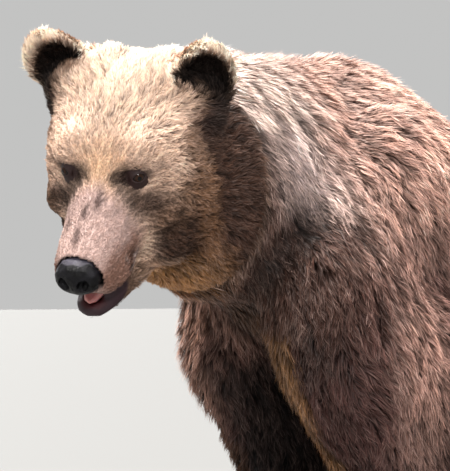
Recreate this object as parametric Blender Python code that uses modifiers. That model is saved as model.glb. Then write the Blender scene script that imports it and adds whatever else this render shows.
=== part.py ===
"""A standing brown bear at life size, its head lowered and turned a little to its left.

The bear faces -Y with +X to its left and +Z up, in metres. Every outer surface is the tip of the coat.
The flesh is modelled whole: lofts and rounded masses are fused, smoothed and thinned to facets. It is
then parted by thin cuts into the parts that a person would name. Eyes, nose, tongue and claws are
separate pieces that sit in pockets.
"""

import math

import bmesh
import bpy
from mathutils import Matrix, Vector

# Driving dimensions, in metres
HUMP_HEIGHT = 1.120
HEAD_ORIGIN = Vector((0.105, -0.790, 0.911))  # the nape joint, at the level of the palate
HEAD_YAW = math.radians(33)
HEAD_PITCH = math.radians(40.5)
HEAD_ROLL = math.radians(8.5)
GAP = 0.0004  # between neighbouring solids
POCKET = 0.0010  # around a piece that sits in a pocket
SIDES = {"left": 1, "right": -1}

# How fine the fused flesh is, and how many facets it keeps
BODY_VOXEL = 0.010
HEAD_VOXEL = 0.004
PAW_VOXEL = 0.005
WHOLE_VOXEL = 0.0055
HEAD_TRIANGLES = 1700
BODY_TRIANGLES = 1900
OVERLAP = 0.012  # how far the head and body run past their shared cut before it is made

# Steps that the legs have taken from a square stance, forwards
FORE_STEP = {"left": 0.065, "right": -0.050}
HIND_STEP = {"left": -0.060, "right": 0.070}

HEAD_FRAME = (
    Matrix.Translation(HEAD_ORIGIN)
    @ Matrix.Rotation(HEAD_YAW, 4, "Z")
    @ Matrix.Rotation(HEAD_PITCH, 4, "X")
    @ Matrix.Rotation(HEAD_ROLL, 4, "Y")
)


# ---- tools -----------------------------------------------------------------


def clear_scene():
    for obj in list(bpy.data.objects):
        bpy.data.objects.remove(obj)


def collection(name):
    made = bpy.data.collections.new(name)
    bpy.context.scene.collection.children.link(made)
    return made


def finish(name, colour, roughness):
    """A plain Principled material."""
    material = bpy.data.materials.new(name)
    material.use_nodes = True
    shader = material.node_tree.nodes["Principled BSDF"]
    shader.inputs["Base Color"].default_value = (*colour, 1)
    shader.inputs["Roughness"].default_value = roughness
    return material


def object_from(bm, name, group):
    mesh = bpy.data.meshes.new(name)
    bmesh.ops.recalc_face_normals(bm, faces=bm.faces)
    bm.to_mesh(mesh)
    bm.free()
    obj = bpy.data.objects.new(name, mesh)
    group.objects.link(obj)
    return obj


def evaluated_mesh(obj):
    graph = bpy.context.evaluated_depsgraph_get()
    return bpy.data.meshes.new_from_object(obj.evaluated_get(graph))


def catmull_rom(p, q, r, s, t):
    """The value at t from q to r of a smooth curve through p, q, r and s."""
    square = 2 * p - 5 * q + 4 * r - s
    cube = 3 * q - p - 3 * r + s
    return 0.5 * (2 * q + (r - p) * t + square * t**2 + cube * t**3)


def between(rows, steps):
    """Rows of numbers with smooth rows put between them, so that a loft runs smoothly."""
    padded = [rows[0], *rows, rows[-1]]
    made = []
    for around in zip(padded, padded[1:], padded[2:], padded[3:]):
        for step in range(steps):
            made.append([catmull_rom(*column, step / steps) for column in zip(*around)])
    return [*made, list(rows[-1])]


def loft(name, rings, group):
    """A closed skin over rings that all have the same number of points."""
    bm = bmesh.new()
    loops = [[bm.verts.new(point) for point in ring] for ring in rings]
    for near, far in zip(loops, loops[1:]):
        for i in range(len(near)):
            j = (i + 1) % len(near)
            bm.faces.new((near[i], near[j], far[j], far[i]))
    bm.faces.new(loops[0])
    bm.faces.new(loops[-1])
    return object_from(bm, name, group)


def barrel(name, stations, group, sides=28, steps=4):
    """A loft along Y. A station is (y, top, bottom, half width, crest): crest narrows it towards the top."""
    rings = []
    for y, top, bottom, half_width, crest in between(stations, steps):
        middle, half = (top + bottom) / 2, (top - bottom) / 2
        ring = []
        for i in range(sides):
            angle = math.tau * i / sides
            rise = math.sin(angle)
            narrowed = 1 - crest * max(0.0, rise) ** 1.5
            ring.append((half_width * narrowed * math.cos(angle), y, middle + half * rise))
        rings.append(ring)
    return loft(name, rings, group)


def limb(name, stations, group, sides=20, steps=4):
    """A loft along a bent path. A station is (x, y, z, half width, half depth)."""
    rows = between(stations, steps)
    points = [Vector(row[:3]) for row in rows]
    rings = []
    for i, row in enumerate(rows):
        along = (points[min(i + 1, len(rows) - 1)] - points[max(i - 1, 0)]).normalized()
        deep = along.cross(Vector((1, 0, 0))).normalized()
        wide = deep.cross(along)
        ring = []
        for k in range(sides):
            angle = math.tau * k / sides
            ring.append(points[i] + wide * row[3] * math.cos(angle) + deep * row[4] * math.sin(angle))
        rings.append(ring)
    return loft(name, rings, group)


def mass(name, centre, radii, group, turn=(0, 0, 0), fineness=24):
    """An ellipsoid, such as a muscle. turn holds degrees about X, Y and Z."""
    bm = bmesh.new()
    bmesh.ops.create_uvsphere(bm, u_segments=fineness, v_segments=fineness * 2 // 3, radius=1)
    obj = object_from(bm, name, group)
    turned = Matrix.Rotation(math.radians(turn[2]), 4, "Z")
    turned @= Matrix.Rotation(math.radians(turn[1]), 4, "Y")
    turned @= Matrix.Rotation(math.radians(turn[0]), 4, "X")
    obj.data.transform(Matrix.Translation(centre) @ turned @ Matrix.Diagonal((*radii, 1)))
    return obj


def fused(name, pieces, voxel, rounds, group):
    """One smooth closed object in place of overlapping pieces."""
    bm = bmesh.new()
    for piece in pieces:
        bm.from_mesh(piece.data)
        bpy.data.objects.remove(piece)
    obj = object_from(bm, name, group)
    remesh = obj.modifiers.new("Remesh", "REMESH")
    remesh.mode = "VOXEL"
    remesh.voxel_size = voxel
    smooth = obj.modifiers.new("Smooth", "SMOOTH")
    smooth.factor = 0.5
    smooth.iterations = rounds
    mesh = evaluated_mesh(obj)
    obj.modifiers.clear()
    obj.data = mesh
    return obj


def kept_side(name, whole, point, normal, group):
    """A closed copy of what an object has on the normal's side of a plane."""
    bm = bmesh.new()
    bm.from_mesh(whole.data)
    everything = bm.verts[:] + bm.edges[:] + bm.faces[:]
    bmesh.ops.bisect_plane(bm, geom=everything, plane_co=point, plane_no=normal, clear_inner=True)
    bmesh.ops.holes_fill(bm, edges=[edge for edge in bm.edges if edge.is_boundary])
    bmesh.ops.triangulate(bm, faces=bm.faces)
    bmesh.ops.recalc_face_normals(bm, faces=bm.faces)
    return object_from(bm, name, group)


def thinned(obj, triangles):
    """Leaves about this many facets on an object."""
    decimate = obj.modifiers.new("Decimate", "DECIMATE")
    decimate.ratio = triangles / len(obj.data.loop_triangles or obj.data.polygons)
    mesh = evaluated_mesh(obj)
    obj.modifiers.clear()
    obj.data = mesh
    return obj


def hidden(obj):
    obj.hide_render = True
    obj.display_type = "WIRE"
    return obj


def prism(name, outline, low, high, group, frame=None):
    """A cutter: an outline of (across, up) points, run along Y from low to high."""
    bm = bmesh.new()
    base = bm.faces.new([bm.verts.new((across, low, up)) for across, up in outline])
    pushed = bmesh.ops.extrude_face_region(bm, geom=[base])["geom"]
    moved = [item for item in pushed if isinstance(item, bmesh.types.BMVert)]
    bmesh.ops.translate(bm, verts=moved, vec=(0, high - low, 0))
    obj = hidden(object_from(bm, name, group))
    if frame is not None:
        obj.data.transform(frame)
    return obj


def grown(obj, by, group):
    """A cutter that stands clear of an object by an even distance."""
    bm = bmesh.new()
    bm.from_mesh(obj.data)
    bm.normal_update()
    moves = [vert.normal * by * vert.calc_shell_factor() for vert in bm.verts]
    for vert, move in zip(bm.verts, moves):
        vert.co += move
    return hidden(object_from(bm, obj.name + "_room", group))


def trimmed(name, source, inside, outside, group, material):
    """A node: the source within every cutter of inside and outside every cutter of outside."""
    obj = bpy.data.objects.new(name, source.data.copy())
    group.objects.link(obj)
    for operation, cutters in (("INTERSECT", inside), ("DIFFERENCE", outside)):
        for cutter in cutters:
            boolean = obj.modifiers.new(cutter.name, "BOOLEAN")
            boolean.operation = operation
            boolean.object = cutter
    obj.data.materials.clear()
    obj.data.materials.append(material)
    return obj


# ---- the body ----------------------------------------------------------------


def trunk(group):
    """Chest, shoulder hump, barrel, loins and rump."""
    hump = HUMP_HEIGHT
    return [
        barrel(
            "trunk_form",
            [  # y, top, bottom, half width, crest
                (-0.600, 0.900, 0.700, 0.080, 0.0),
                (-0.555, 0.980, 0.640, 0.150, 0.1),
                (-0.480, 1.055, 0.590, 0.200, 0.2),
                (-0.400, hump - 0.010, 0.545, 0.235, 0.35),
                (-0.310, hump, 0.515, 0.255, 0.42),
                (-0.215, hump - 0.038, 0.490, 0.268, 0.40),
                (-0.140, hump - 0.094, 0.470, 0.282, 0.30),
                (-0.030, hump - 0.120, 0.450, 0.298, 0.2),
                (0.120, hump - 0.125, 0.430, 0.308, 0.15),
                (0.270, hump - 0.115, 0.440, 0.300, 0.12),
                (0.400, hump - 0.110, 0.490, 0.280, 0.12),
                (0.510, hump - 0.130, 0.560, 0.250, 0.15),
                (0.600, hump - 0.185, 0.630, 0.205, 0.1),
                (0.665, hump - 0.275, 0.710, 0.125, 0.0),
            ],
            group,
        ),
        mass("breast", (0.030, -0.470, 0.720), (0.190, 0.110, 0.120), group),
        mass("rump", (0.000, 0.520, 0.730), (0.170, 0.145, 0.170), group),
    ]


def neck(group):
    """A deep neck that bends to the bear's left, from within the chest to within the head."""
    return [
        limb(
            "neck_form",
            [  # x, y, z, half width, half height
                (0.000, -0.340, 0.830, 0.200, 0.250),
                (0.015, -0.450, 0.850, 0.205, 0.238),
                (0.050, -0.570, 0.870, 0.190, 0.212),
                (0.086, -0.680, 0.880, 0.166, 0.208),
                (0.106, -0.765, 0.896, 0.146, 0.192),
                (0.124, -0.830, 0.912, 0.104, 0.148),
            ],
            group,
            sides=28,
        )
    ]


def foreleg(side, group):
    """Shoulder blade, upper arm and forearm, down to the wrist."""
    s = SIDES[side]
    step = -FORE_STEP[side]
    blade = (s * 0.160, -0.375 + step * 0.2, 0.790)
    triceps = (s * 0.205, -0.290 + step * 0.6, 0.580)
    return [
        mass("shoulder_" + side, blade, (0.115, 0.165, 0.230), group, (-14, s * 10, 0)),
        mass("triceps_" + side, triceps, (0.090, 0.130, 0.160), group, (25, 0, 0)),
        limb(
            "foreleg_" + side,
            [  # x, y, z, half width, half depth
                (s * 0.170, -0.390 + step * 0.2, 0.860, 0.080, 0.120),
                (s * 0.195, -0.425 + step, 0.720, 0.108, 0.150),
                (s * 0.210, -0.405 + step * 1.1, 0.590, 0.110, 0.145),
                (s * 0.214, -0.350 + step, 0.480, 0.104, 0.130),
                (s * 0.211, -0.325 + step, 0.370, 0.095, 0.110),
                (s * 0.204, -0.328 + step, 0.240, 0.083, 0.088),
                (s * 0.200, -0.336 + step, 0.140, 0.077, 0.079),
                (s * 0.200, -0.346 + step, 0.065, 0.074, 0.078),
            ],
            group,
        ),
        mass("ankle_" + side, (s * 0.199, -0.358 + step, 0.050), (0.080, 0.090, 0.060), group),
    ]


def hindleg(side, group):
    """Haunch, thigh and shank, down to the heel."""
    s = SIDES[side]
    step = -HIND_STEP[side]
    return [
        mass("haunch_" + side, (s * 0.135, 0.440, 0.740), (0.130, 0.190, 0.205), group, (18, s * 10, 0)),
        mass("buttock_" + side, (s * 0.120, 0.540 + step * 0.3, 0.690), (0.120, 0.135, 0.175), group),
        limb(
            "hindleg_" + side,
            [  # x, y, z, half width, half depth
                (s * 0.130, 0.460, 0.800, 0.100, 0.170),
                (s * 0.175, 0.435 + step * 0.3, 0.660, 0.120, 0.185),
                (s * 0.202, 0.405 + step * 0.6, 0.520, 0.112, 0.168),
                (s * 0.212, 0.415 + step * 0.9, 0.400, 0.102, 0.138),
                (s * 0.209, 0.462 + step, 0.280, 0.089, 0.108),
                (s * 0.204, 0.505 + step, 0.170, 0.078, 0.085),
                (s * 0.201, 0.515 + step, 0.075, 0.072, 0.078),
            ],
            group,
        ),
        mass("heel_" + side, (s * 0.200, 0.500 + step, 0.050), (0.076, 0.095, 0.060), group),
    ]


def tail(group):
    """A short stub of a tail, carried down over the rump."""
    return [mass("tail_form", (0.0, 0.675, 0.790), (0.046, 0.044, 0.095), group, (18, 0, 0))]


# ---- paws and claws ----------------------------------------------------------

TOES = 5
FORE_PAW = {"width": 0.178, "length": 0.205, "height": 0.100, "toe": 0.0225, "claw": 0.062}
HIND_PAW = {"width": 0.165, "length": 0.290, "height": 0.098, "toe": 0.0210, "claw": 0.040}
TURN_IN = math.radians(10)  # a bear's paws point inwards
SINK = 0.008  # how far the soles' forms reach below the floor before they are cut flat


def paw_frame(kind, side):
    """The paw's own frame: its origin on the floor under the wrist or heel, its toes towards -Y."""
    s = SIDES[side]
    if kind == "fore":
        place = Vector((s * 0.200, -0.346 - FORE_STEP[side], 0))
    else:
        place = Vector((s * 0.202, 0.515 - HIND_STEP[side], 0))
    return Matrix.Translation(place) @ Matrix.Rotation(-s * TURN_IN, 4, "Z")


def toe_places(paw):
    """Each toe's (across, forward, turn): the middle toes lead, and the outer ones fan out."""
    for i in range(TOES):
        share = 2 * i / (TOES - 1) - 1
        across = share * (paw["width"] / 2 - paw["toe"])
        forward = paw["length"] - paw["toe"] * 1.6 - 0.026 * share**2
        yield i + 1, across, forward, share * 9


def paw_form(kind, side, group):
    """Palm or sole, instep and five toes, fused, with a flat at floor level."""
    paw = FORE_PAW if kind == "fore" else HIND_PAW
    length, width, height = paw["length"], paw["width"], paw["height"]
    instep = (width * 0.42, length * 0.36, height * 0.62)
    pieces = [
        mass("palm", (0, -length * 0.55, 0.036), (width * 0.49, length * 0.44, 0.046), group),
        mass("instep", (0, -length * 0.25, 0.055), instep, group, (16, 0, 0)),
        mass("heel", (0, -length * 0.06 + 0.02, 0.040), (width * 0.40, 0.060, 0.050), group),
    ]
    for number, across, forward, turn in toe_places(paw):
        place = (across, -forward, paw["toe"] * 0.98)
        radii = (paw["toe"] * 0.98, paw["toe"] * 1.75, paw["toe"] * 1.25)
        pieces.append(mass(f"toe_{number}", place, radii, group, (10, 0, turn)))
    form = fused("paw_form", pieces, PAW_VOXEL, 3, group)
    form.data.transform(paw_frame(kind, side) @ Matrix.Translation((0, 0, -SINK)))
    return form


def claw(name, paw, frame, across, forward, turn, group):
    """A curved, tapering claw: a tube bent down along an arc."""
    length, root = paw["claw"], 0.0068
    bend = math.radians(68)
    radius = length / bend
    rings = []
    for i in range(5):
        share = i / 4
        angle = bend * share
        centre = Vector((0, -radius * math.sin(angle), -radius * (1 - math.cos(angle))))
        up = Vector((0, -math.sin(angle), math.cos(angle)))
        size = root * (1 - 0.88 * share**1.4)
        ring = [
            centre + Vector((1, 0, 0)) * size * 0.72 * math.cos(a) + up * size * 1.25 * math.sin(a)
            for a in (math.tau * k / 6 for k in range(6))
        ]
        rings.append(ring)
    obj = loft(name, rings, group)
    start = Matrix.Translation((across, -forward - paw["toe"] * 1.05, paw["toe"] * 1.25 + 0.004 - SINK))
    tilt = Matrix.Rotation(math.radians(turn), 4, "Z") @ Matrix.Rotation(math.radians(-12), 4, "X")
    obj.data.transform(frame @ start @ tilt)
    return obj


def claws(kind, side, group):
    """The five claws of a paw, numbered from the bear's right."""
    paw = FORE_PAW if kind == "fore" else HIND_PAW
    frame = paw_frame(kind, side)
    return [
        claw(f"claw_{kind}_{side}_{number}_form", paw, frame, across, forward, turn, group)
        for number, across, forward, turn in toe_places(paw)
    ]


# ---- the head, in its own frame: -Y forwards, +X left, +Z up --------------------

EYE = {"across": 0.0535, "forward": 0.200, "up": 0.097, "radius": 0.0125}
EAR = {"across": 0.118, "forward": 0.042, "up": 0.176, "width": 0.051, "height": 0.063, "thick": 0.024}
EAR_TURN = {"left": 22, "right": -8}  # degrees that each ear's cup faces outwards
EAR_LEAN = {"left": 4, "right": 28}  # degrees that each ear leans outwards
NOSE = {"forward": 0.340, "up": 0.019, "half_width": 0.034, "half_height": 0.029, "depth": 0.021}


def at(across, forward, up):
    return (across, -forward, up)


def skull(group):
    """Forehead, brows, cheeks and throat."""
    pieces = [
        barrel(
            "skull_form",
            [  # y, top, bottom, half width, crest
                (0.080, 0.120, -0.050, 0.070, 0.1),
                (0.040, 0.160, -0.075, 0.105, 0.1),
                (-0.020, 0.188, -0.090, 0.128, 0.1),
                (-0.075, 0.193, -0.090, 0.133, 0.12),
                (-0.120, 0.180, -0.082, 0.122, 0.15),
                (-0.160, 0.158, -0.070, 0.098, 0.18),
                (-0.195, 0.130, -0.058, 0.076, 0.2),
                (-0.230, 0.104, -0.050, 0.058, 0.2),
            ],
            group,
        ),
        mass("throat", at(0, 0.080, -0.080), (0.080, 0.110, 0.056), group, (8, 0, 0)),
    ]
    for s in SIDES.values():
        pieces += [
            mass("crown", at(s * 0.052, 0.040, 0.124), (0.076, 0.088, 0.077), group),
            mass("temple", at(s * 0.070, 0.108, 0.082), (0.062, 0.084, 0.078), group, (0, 0, s * 12)),
            mass("cheek", at(s * 0.072, 0.080, -0.005), (0.068, 0.094, 0.094), group),
            mass("jowl", at(s * 0.062, 0.130, -0.046), (0.048, 0.074, 0.056), group),
            mass("cheekbone", at(s * 0.060, 0.150, 0.040), (0.042, 0.074, 0.050), group, (0, 0, s * 24)),
            mass("brow", at(s * 0.042, 0.152, 0.112), (0.044, 0.060, 0.042), group, (-18, s * 18, s * 14)),
            mass("ear_root", at(s * 0.092, 0.046, 0.114), (0.052, 0.056, 0.062), group),
        ]
    return pieces


def muzzle(group):
    """The upper jaw, with the lips hanging a little at its sides."""
    pieces = [
        barrel(
            "muzzle_form",
            [  # y, top, bottom, half width, crest
                (-0.120, 0.130, -0.050, 0.070, 0.2),
                (-0.160, 0.128, -0.054, 0.070, 0.2),
                (-0.190, 0.120, -0.054, 0.067, 0.2),
                (-0.220, 0.106, -0.050, 0.059, 0.2),
                (-0.257, 0.088, -0.043, 0.052, 0.15),
                (-0.295, 0.072, -0.033, 0.047, 0.12),
                (-0.326, 0.056, -0.021, 0.042, 0.1),
                (-0.344, 0.040, -0.008, 0.030, 0.0),
            ],
            group,
        )
    ]
    for s in SIDES.values():
        place = at(s * 0.024, 0.280, -0.005)
        pieces.append(mass("upper_lip", place, (0.028, 0.062, 0.038), group, (-12, 0, s * -6)))
    return pieces


def ear_frame(side):
    s = SIDES[side]
    return (
        Matrix.Translation(at(s * EAR["across"], EAR["forward"], EAR["up"]))
        @ Matrix.Rotation(math.radians(s * EAR_LEAN[side]), 4, "Y")
        @ Matrix.Rotation(math.radians(s * EAR_TURN[side]), 4, "Z")
        @ Matrix.Rotation(math.radians(8), 4, "X")
    )


def ear_form(side, group):
    """A round, cupped ear: a thick disc with a hollow cut in its front."""
    width, height, thick = EAR["width"], EAR["height"], EAR["thick"]
    disc = mass("ear_disc", (0, 0, 0), (width, thick, height), group)
    foot = mass("ear_foot", (0, 0.002, -height * 0.62), (width * 0.86, thick * 1.15, height * 0.42), group)
    outer = fused("ear_outer", [disc, foot], HEAD_VOXEL, 2, group)
    hollow_radii = (width * 0.74, thick * 1.25, height * 0.74)
    hollow = hidden(mass("ear_hollow", (0, -thick * 1.05, -height * 0.06), hollow_radii, group))
    cut = outer.modifiers.new("Hollow", "BOOLEAN")
    cut.operation = "DIFFERENCE"
    cut.object = hollow
    outer.data = evaluated_mesh(outer)
    outer.modifiers.clear()
    bpy.data.objects.remove(hollow)
    outer.data.transform(ear_frame(side))
    return outer


def jaw(group):
    """The lower jaw and chin, a little open."""
    return [
        barrel(
            "jaw_form",
            [  # y, top, bottom, half width, crest
                (-0.060, -0.020, -0.115, 0.072, 0.0),
                (-0.120, -0.026, -0.114, 0.066, 0.0),
                (-0.170, -0.034, -0.109, 0.056, 0.0),
                (-0.215, -0.039, -0.102, 0.046, 0.0),
                (-0.255, -0.042, -0.091, 0.040, 0.0),
                (-0.292, -0.044, -0.081, 0.034, 0.0),
                (-0.316, -0.045, -0.075, 0.027, 0.0),
                (-0.330, -0.051, -0.069, 0.015, 0.0),
            ],
            group,
        )
    ]


def eye(side, group):
    place = at(SIDES[side] * EYE["across"], EYE["forward"], EYE["up"])
    return mass(f"eye_{side}_form", place, (EYE["radius"],) * 3, group, fineness=12)


def nose_pad(group):
    """The leathery nose and its room in the head: a rounded block, then two nostrils and a groove in it."""
    w, h, d = NOSE["half_width"], NOSE["half_height"], NOSE["depth"]
    centre = Vector(at(0, NOSE["forward"], NOSE["up"]))
    bridge = centre + Vector((0, 0.006, h * 0.45))
    pieces = [
        mass("nose_block", centre, (w * 0.86, d, h * 0.95), group),
        mass("nose_bridge", bridge, (w * 0.80, d * 0.95, h * 0.50), group),
    ]
    for s in SIDES.values():
        wing = centre + Vector((s * w * 0.50, 0.002, -h * 0.05))
        pieces.append(mass("nose_wing", wing, (w * 0.50, d * 0.86, h * 0.70), group))
    pad = thinned(fused("nose_pad_form", pieces, 0.003, 2, group), 200)
    room = grown(pad, POCKET, group)
    cutters = [mass("groove", centre + Vector((0, -d * 1.02, -h * 0.5)), (0.0014, 0.005, h * 0.6), group)]
    for s in SIDES.values():
        nostril = centre + Vector((s * w * 0.43, -d * 0.82, h * 0.02))
        cutters.append(mass("nostril", nostril, (w * 0.21, d * 0.55, h * 0.30), group, (0, s * 25, 0)))
    for cutter in cutters:
        thinned(cutter, 60)
        hidden(cutter)
    return pad, room, cutters


def tongue(group):
    """The tongue's tip, lying between the lower lips."""
    return mass("tongue_form", at(0, 0.281, -0.0415), (0.0175, 0.043, 0.0110), group, (3, 0, 0), 12)


# ---- the whole, and its parting -------------------------------------------------

BELLY = 0.425  # nothing of the trunk hangs lower than this; elbows and knees are cut here
LEG_CUTS = {"fore": 0.115, "hind": 0.120}  # heights of wrist and hock
LEG_NAMES = {
    "fore": ("upper_arm", "forearm", "forepaw"),
    "hind": ("thigh", "shank", "hindpaw"),
}
LEG_CELLS = {  # (across, up) points around a leg's upper part, for the left side
    "fore": [(0.012, 0.400), (0.012, 0.440), (0.085, 0.540), (0.250, 0.880), (0.700, 0.880), (0.700, 0.400)],
    "hind": [(0.012, 0.400), (0.012, 0.420), (0.095, 0.560), (0.190, 0.860), (0.700, 0.860), (0.700, 0.400)],
}
# (forward, up) points; the nape's are level but turned as the head is, the mouth's are the head's own
NAPE_CELL = [(-0.060, -0.300), (0.068, 0.300), (1.0, 0.300), (1.0, -0.300)]
MOUTH_LINE = [
    (0.370, -0.036), (0.295, -0.0405), (0.262, -0.0445), (0.225, -0.0475),
    (0.120, -0.085), (0.110, -0.250), (0.400, -0.250),
]
NECK_CELL = [(0.520, 0.680), (0.580, 1.300), (1.400, 1.300), (1.400, 0.400), (0.750, 0.600)]
NECK_TURN = math.radians(7)
# (across, up) points, run backwards from the tail's root and through the ear
TAIL_CELL = [
    (-0.048, 0.690), (0.048, 0.690), (0.058, 0.760),
    (0.058, 0.905), (-0.058, 0.905), (-0.058, 0.760),
]
TAIL_ROOT = 0.673
EAR_CELL = [(-0.060, -0.012), (0.000, -0.040), (0.080, -0.045), (0.080, 0.085), (-0.060, 0.085)]
EAR_REACH = 0.034  # how far the ear's cell runs before and behind it


def whole_flesh(group):
    """Body, paws, head, ears and jaw as one smooth skin."""
    pieces = trunk(group) + neck(group)
    for side in SIDES:
        pieces += foreleg(side, group) + hindleg(side, group)
    body = fused("body_form", pieces, BODY_VOXEL, 30, group)
    brow_to_throat = fused("skull_form", skull(group), HEAD_VOXEL, 60, group)
    brow_to_throat.data.transform(HEAD_FRAME)
    rough = fused("rough_form", [body, brow_to_throat, *tail(group)], WHOLE_VOXEL, 14, group)
    face = [fused("muzzle_form", muzzle(group), HEAD_VOXEL, 8, group), *jaw(group)]
    for side in SIDES:
        face.append(ear_form(side, group))
    for piece in face:
        piece.data.transform(HEAD_FRAME)
    paws = [paw_form(kind, side, group) for kind in ("fore", "hind") for side in SIDES]
    return fused("flesh", [rough, *face, *paws], WHOLE_VOXEL, 4, group)


def slab(name, low, high, group):
    """A cutter that keeps what lies between two heights."""
    return prism(name, [(-2, low), (2, low), (2, high), (-2, high)], -2, 2, group)


def leg_cells(kind, side, group):
    """Cutters around one leg: above, a cell beside the trunk's own flesh; below, all of that corner."""
    s = SIDES[side]
    line = [(s * across, up) for across, up in LEG_CELLS[kind]]
    corner = [(s * 0.012, -0.3), (s * 0.7, -0.3), (s * 0.7, BELLY), (s * 0.012, BELLY)]
    if kind == "fore":
        front, back = -0.625 - 0.85 * FORE_STEP[side], -0.150 - 0.8 * FORE_STEP[side]
        corner_front, corner_back = -1.0, 0.02
    else:
        front, back = 0.225 - 0.5 * HIND_STEP[side], 0.950
        corner_front, corner_back = 0.02, 1.0
    upper = prism(f"{kind}_upper_cell_{side}", line, front, back, group)
    return upper, prism(f"{kind}_lower_cell_{side}", corner, corner_front, corner_back, group)


def crosswise(name, outline, half_width, group, frame):
    """A cutter in a given frame: an outline of (forward, up) points, run across it."""
    across = Matrix.Rotation(math.radians(-90), 4, "Z")
    return prism(name, outline, -half_width, half_width, group, frame @ across)


def centred(nodes):
    """Moves everything so that the origin is on the floor, under the middle of the nodes' box."""
    low, high = Vector((math.inf,) * 3), Vector((-math.inf,) * 3)
    for node in nodes:
        mesh = evaluated_mesh(node)
        for vert in mesh.vertices:
            low = Vector(map(min, low, vert.co))
            high = Vector(map(max, high, vert.co))
        bpy.data.meshes.remove(mesh)
    middle = (low + high) / 2
    for obj in bpy.data.objects:
        obj.data.transform(Matrix.Translation((-middle.x, -middle.y, 0)))


def main():
    clear_scene()
    parts = collection("brown_bear")
    cutters = collection("cutters")
    forms = collection("forms")
    coat = finish("coat", (0.30, 0.19, 0.13), 0.85)
    nose_leather = finish("nose_leather", (0.03, 0.028, 0.03), 0.4)
    eye_gloss = finish("eye_gloss", (0.03, 0.018, 0.01), 0.08)
    tongue_flesh = finish("tongue_flesh", (0.55, 0.25, 0.24), 0.45)
    horn = finish("horn", (0.09, 0.07, 0.05), 0.45)

    # The flesh twice: the head with finer facets, and the body, whose own head is cut away later
    flesh = whole_flesh(forms)
    nape_frame = Matrix.Translation(HEAD_ORIGIN) @ Matrix.Rotation(HEAD_YAW, 4, "Z")
    nape = nape_frame @ Vector((0, OVERLAP - NAPE_CELL[0][0], NAPE_CELL[0][1]))
    rise = Vector((0, NAPE_CELL[0][0] - NAPE_CELL[1][0], NAPE_CELL[1][1] - NAPE_CELL[0][1]))
    ahead = nape_frame.to_3x3() @ rise.cross(Vector((-1, 0, 0))).normalized()
    front = kept_side("front_flesh", flesh, nape, ahead, forms)
    floor = HEAD_ORIGIN.z + NAPE_CELL[0][1] - OVERLAP
    head = kept_side("head_flesh", front, Vector((0, 0, floor)), Vector((0, 0, 1)), forms)
    bpy.data.objects.remove(front)
    head = hidden(thinned(head, HEAD_TRIANGLES))
    body = hidden(thinned(flesh, BODY_TRIANGLES))

    # Face pieces that sit in pockets
    pad, pad_room, nostrils = nose_pad(cutters)
    tongue_tip = hidden(tongue(cutters))
    tongue_room = grown(tongue_tip, POCKET, cutters)
    eyes = {side: hidden(eye(side, cutters)) for side in SIDES}
    eye_rooms = [grown(eyes[side], POCKET, cutters) for side in SIDES]
    for obj in [pad, pad_room, *nostrils, tongue_tip, tongue_room, *eyes.values(), *eye_rooms]:
        obj.data.transform(HEAD_FRAME)
    hidden(pad)

    # The head's nodes
    nape_cell = crosswise("nape_cell", NAPE_CELL, 1.0, cutters, nape_frame)
    nape_room = grown(nape_cell, GAP, cutters)
    jaw_cell = crosswise("jaw_cell", MOUTH_LINE, 0.2, cutters, HEAD_FRAME)
    jaw_room = grown(jaw_cell, GAP, cutters)
    ear_rooms = []
    for side, s in SIDES.items():
        outline = [(s * across, up) for across, up in EAR_CELL]
        frame = HEAD_FRAME @ ear_frame(side)
        cell = prism(f"ear_cell_{side}", outline, -EAR_REACH, EAR_REACH, cutters, frame)
        ear_rooms.append(grown(cell, GAP, cutters))
        trimmed(f"ear_{side}", head, [cell], [], parts, coat)
        trimmed(f"eye_{side}", eyes[side], [], [], parts, eye_gloss)
    face_rooms = [jaw_room, *ear_rooms, *eye_rooms, pad_room, tongue_room]
    trimmed("head", head, [nape_cell], face_rooms, parts, coat)
    trimmed("jaw_lower", head, [jaw_cell, nape_cell], [tongue_room], parts, coat)
    trimmed("nose_pad", pad, [], nostrils, parts, nose_leather)
    trimmed("tongue", tongue_tip, [], [], parts, tongue_flesh)

    # The body's nodes
    neck_cell = crosswise("neck_cell", NECK_CELL, 1.0, cutters, Matrix.Rotation(NECK_TURN, 4, "Z"))
    neck_rooms = [grown(neck_cell, GAP, cutters), nape_room]
    tail_cell = prism("tail_cell", TAIL_CELL, TAIL_ROOT, 1.0, cutters)
    tail_room = grown(tail_cell, GAP, cutters)
    above_belly = slab("above_belly", BELLY + GAP / 2, 2.0, cutters)
    leg_rooms = []
    for side in SIDES:
        for kind in ("fore", "hind"):
            upper_cell, lower_cell = leg_cells(kind, side, cutters)
            leg_rooms.append(grown(upper_cell, GAP, cutters))
            nails = [hidden(nail) for nail in claws(kind, side, cutters)]
            nail_rooms = [grown(nail, POCKET, cutters) for nail in nails]
            for nail in nails:
                trimmed(nail.name.replace("_form", ""), nail, [], [], parts, horn)
            upper, middle, paw = LEG_NAMES[kind]
            end = LEG_CUTS[kind]
            under_knee = slab(f"{middle}_level_{side}", end + GAP / 2, BELLY - GAP / 2, cutters)
            near_floor = slab(f"{paw}_level_{side}", 0.0, end - GAP / 2, cutters)
            apart = neck_rooms if kind == "fore" else [tail_room]
            trimmed(f"{upper}_{side}", body, [upper_cell, above_belly], apart, parts, coat)
            trimmed(f"{middle}_{side}", body, [lower_cell, under_knee], [], parts, coat)
            trimmed(f"{paw}_{side}", body, [lower_cell, near_floor], nail_rooms, parts, coat)
    trimmed("neck", body, [neck_cell], [nape_room], parts, coat)
    trimmed("trunk", body, [above_belly], [*leg_rooms, *neck_rooms, tail_room], parts, coat)
    trimmed("tail", body, [tail_cell], [], parts, coat)
    centred(parts.objects)


main()
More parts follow.
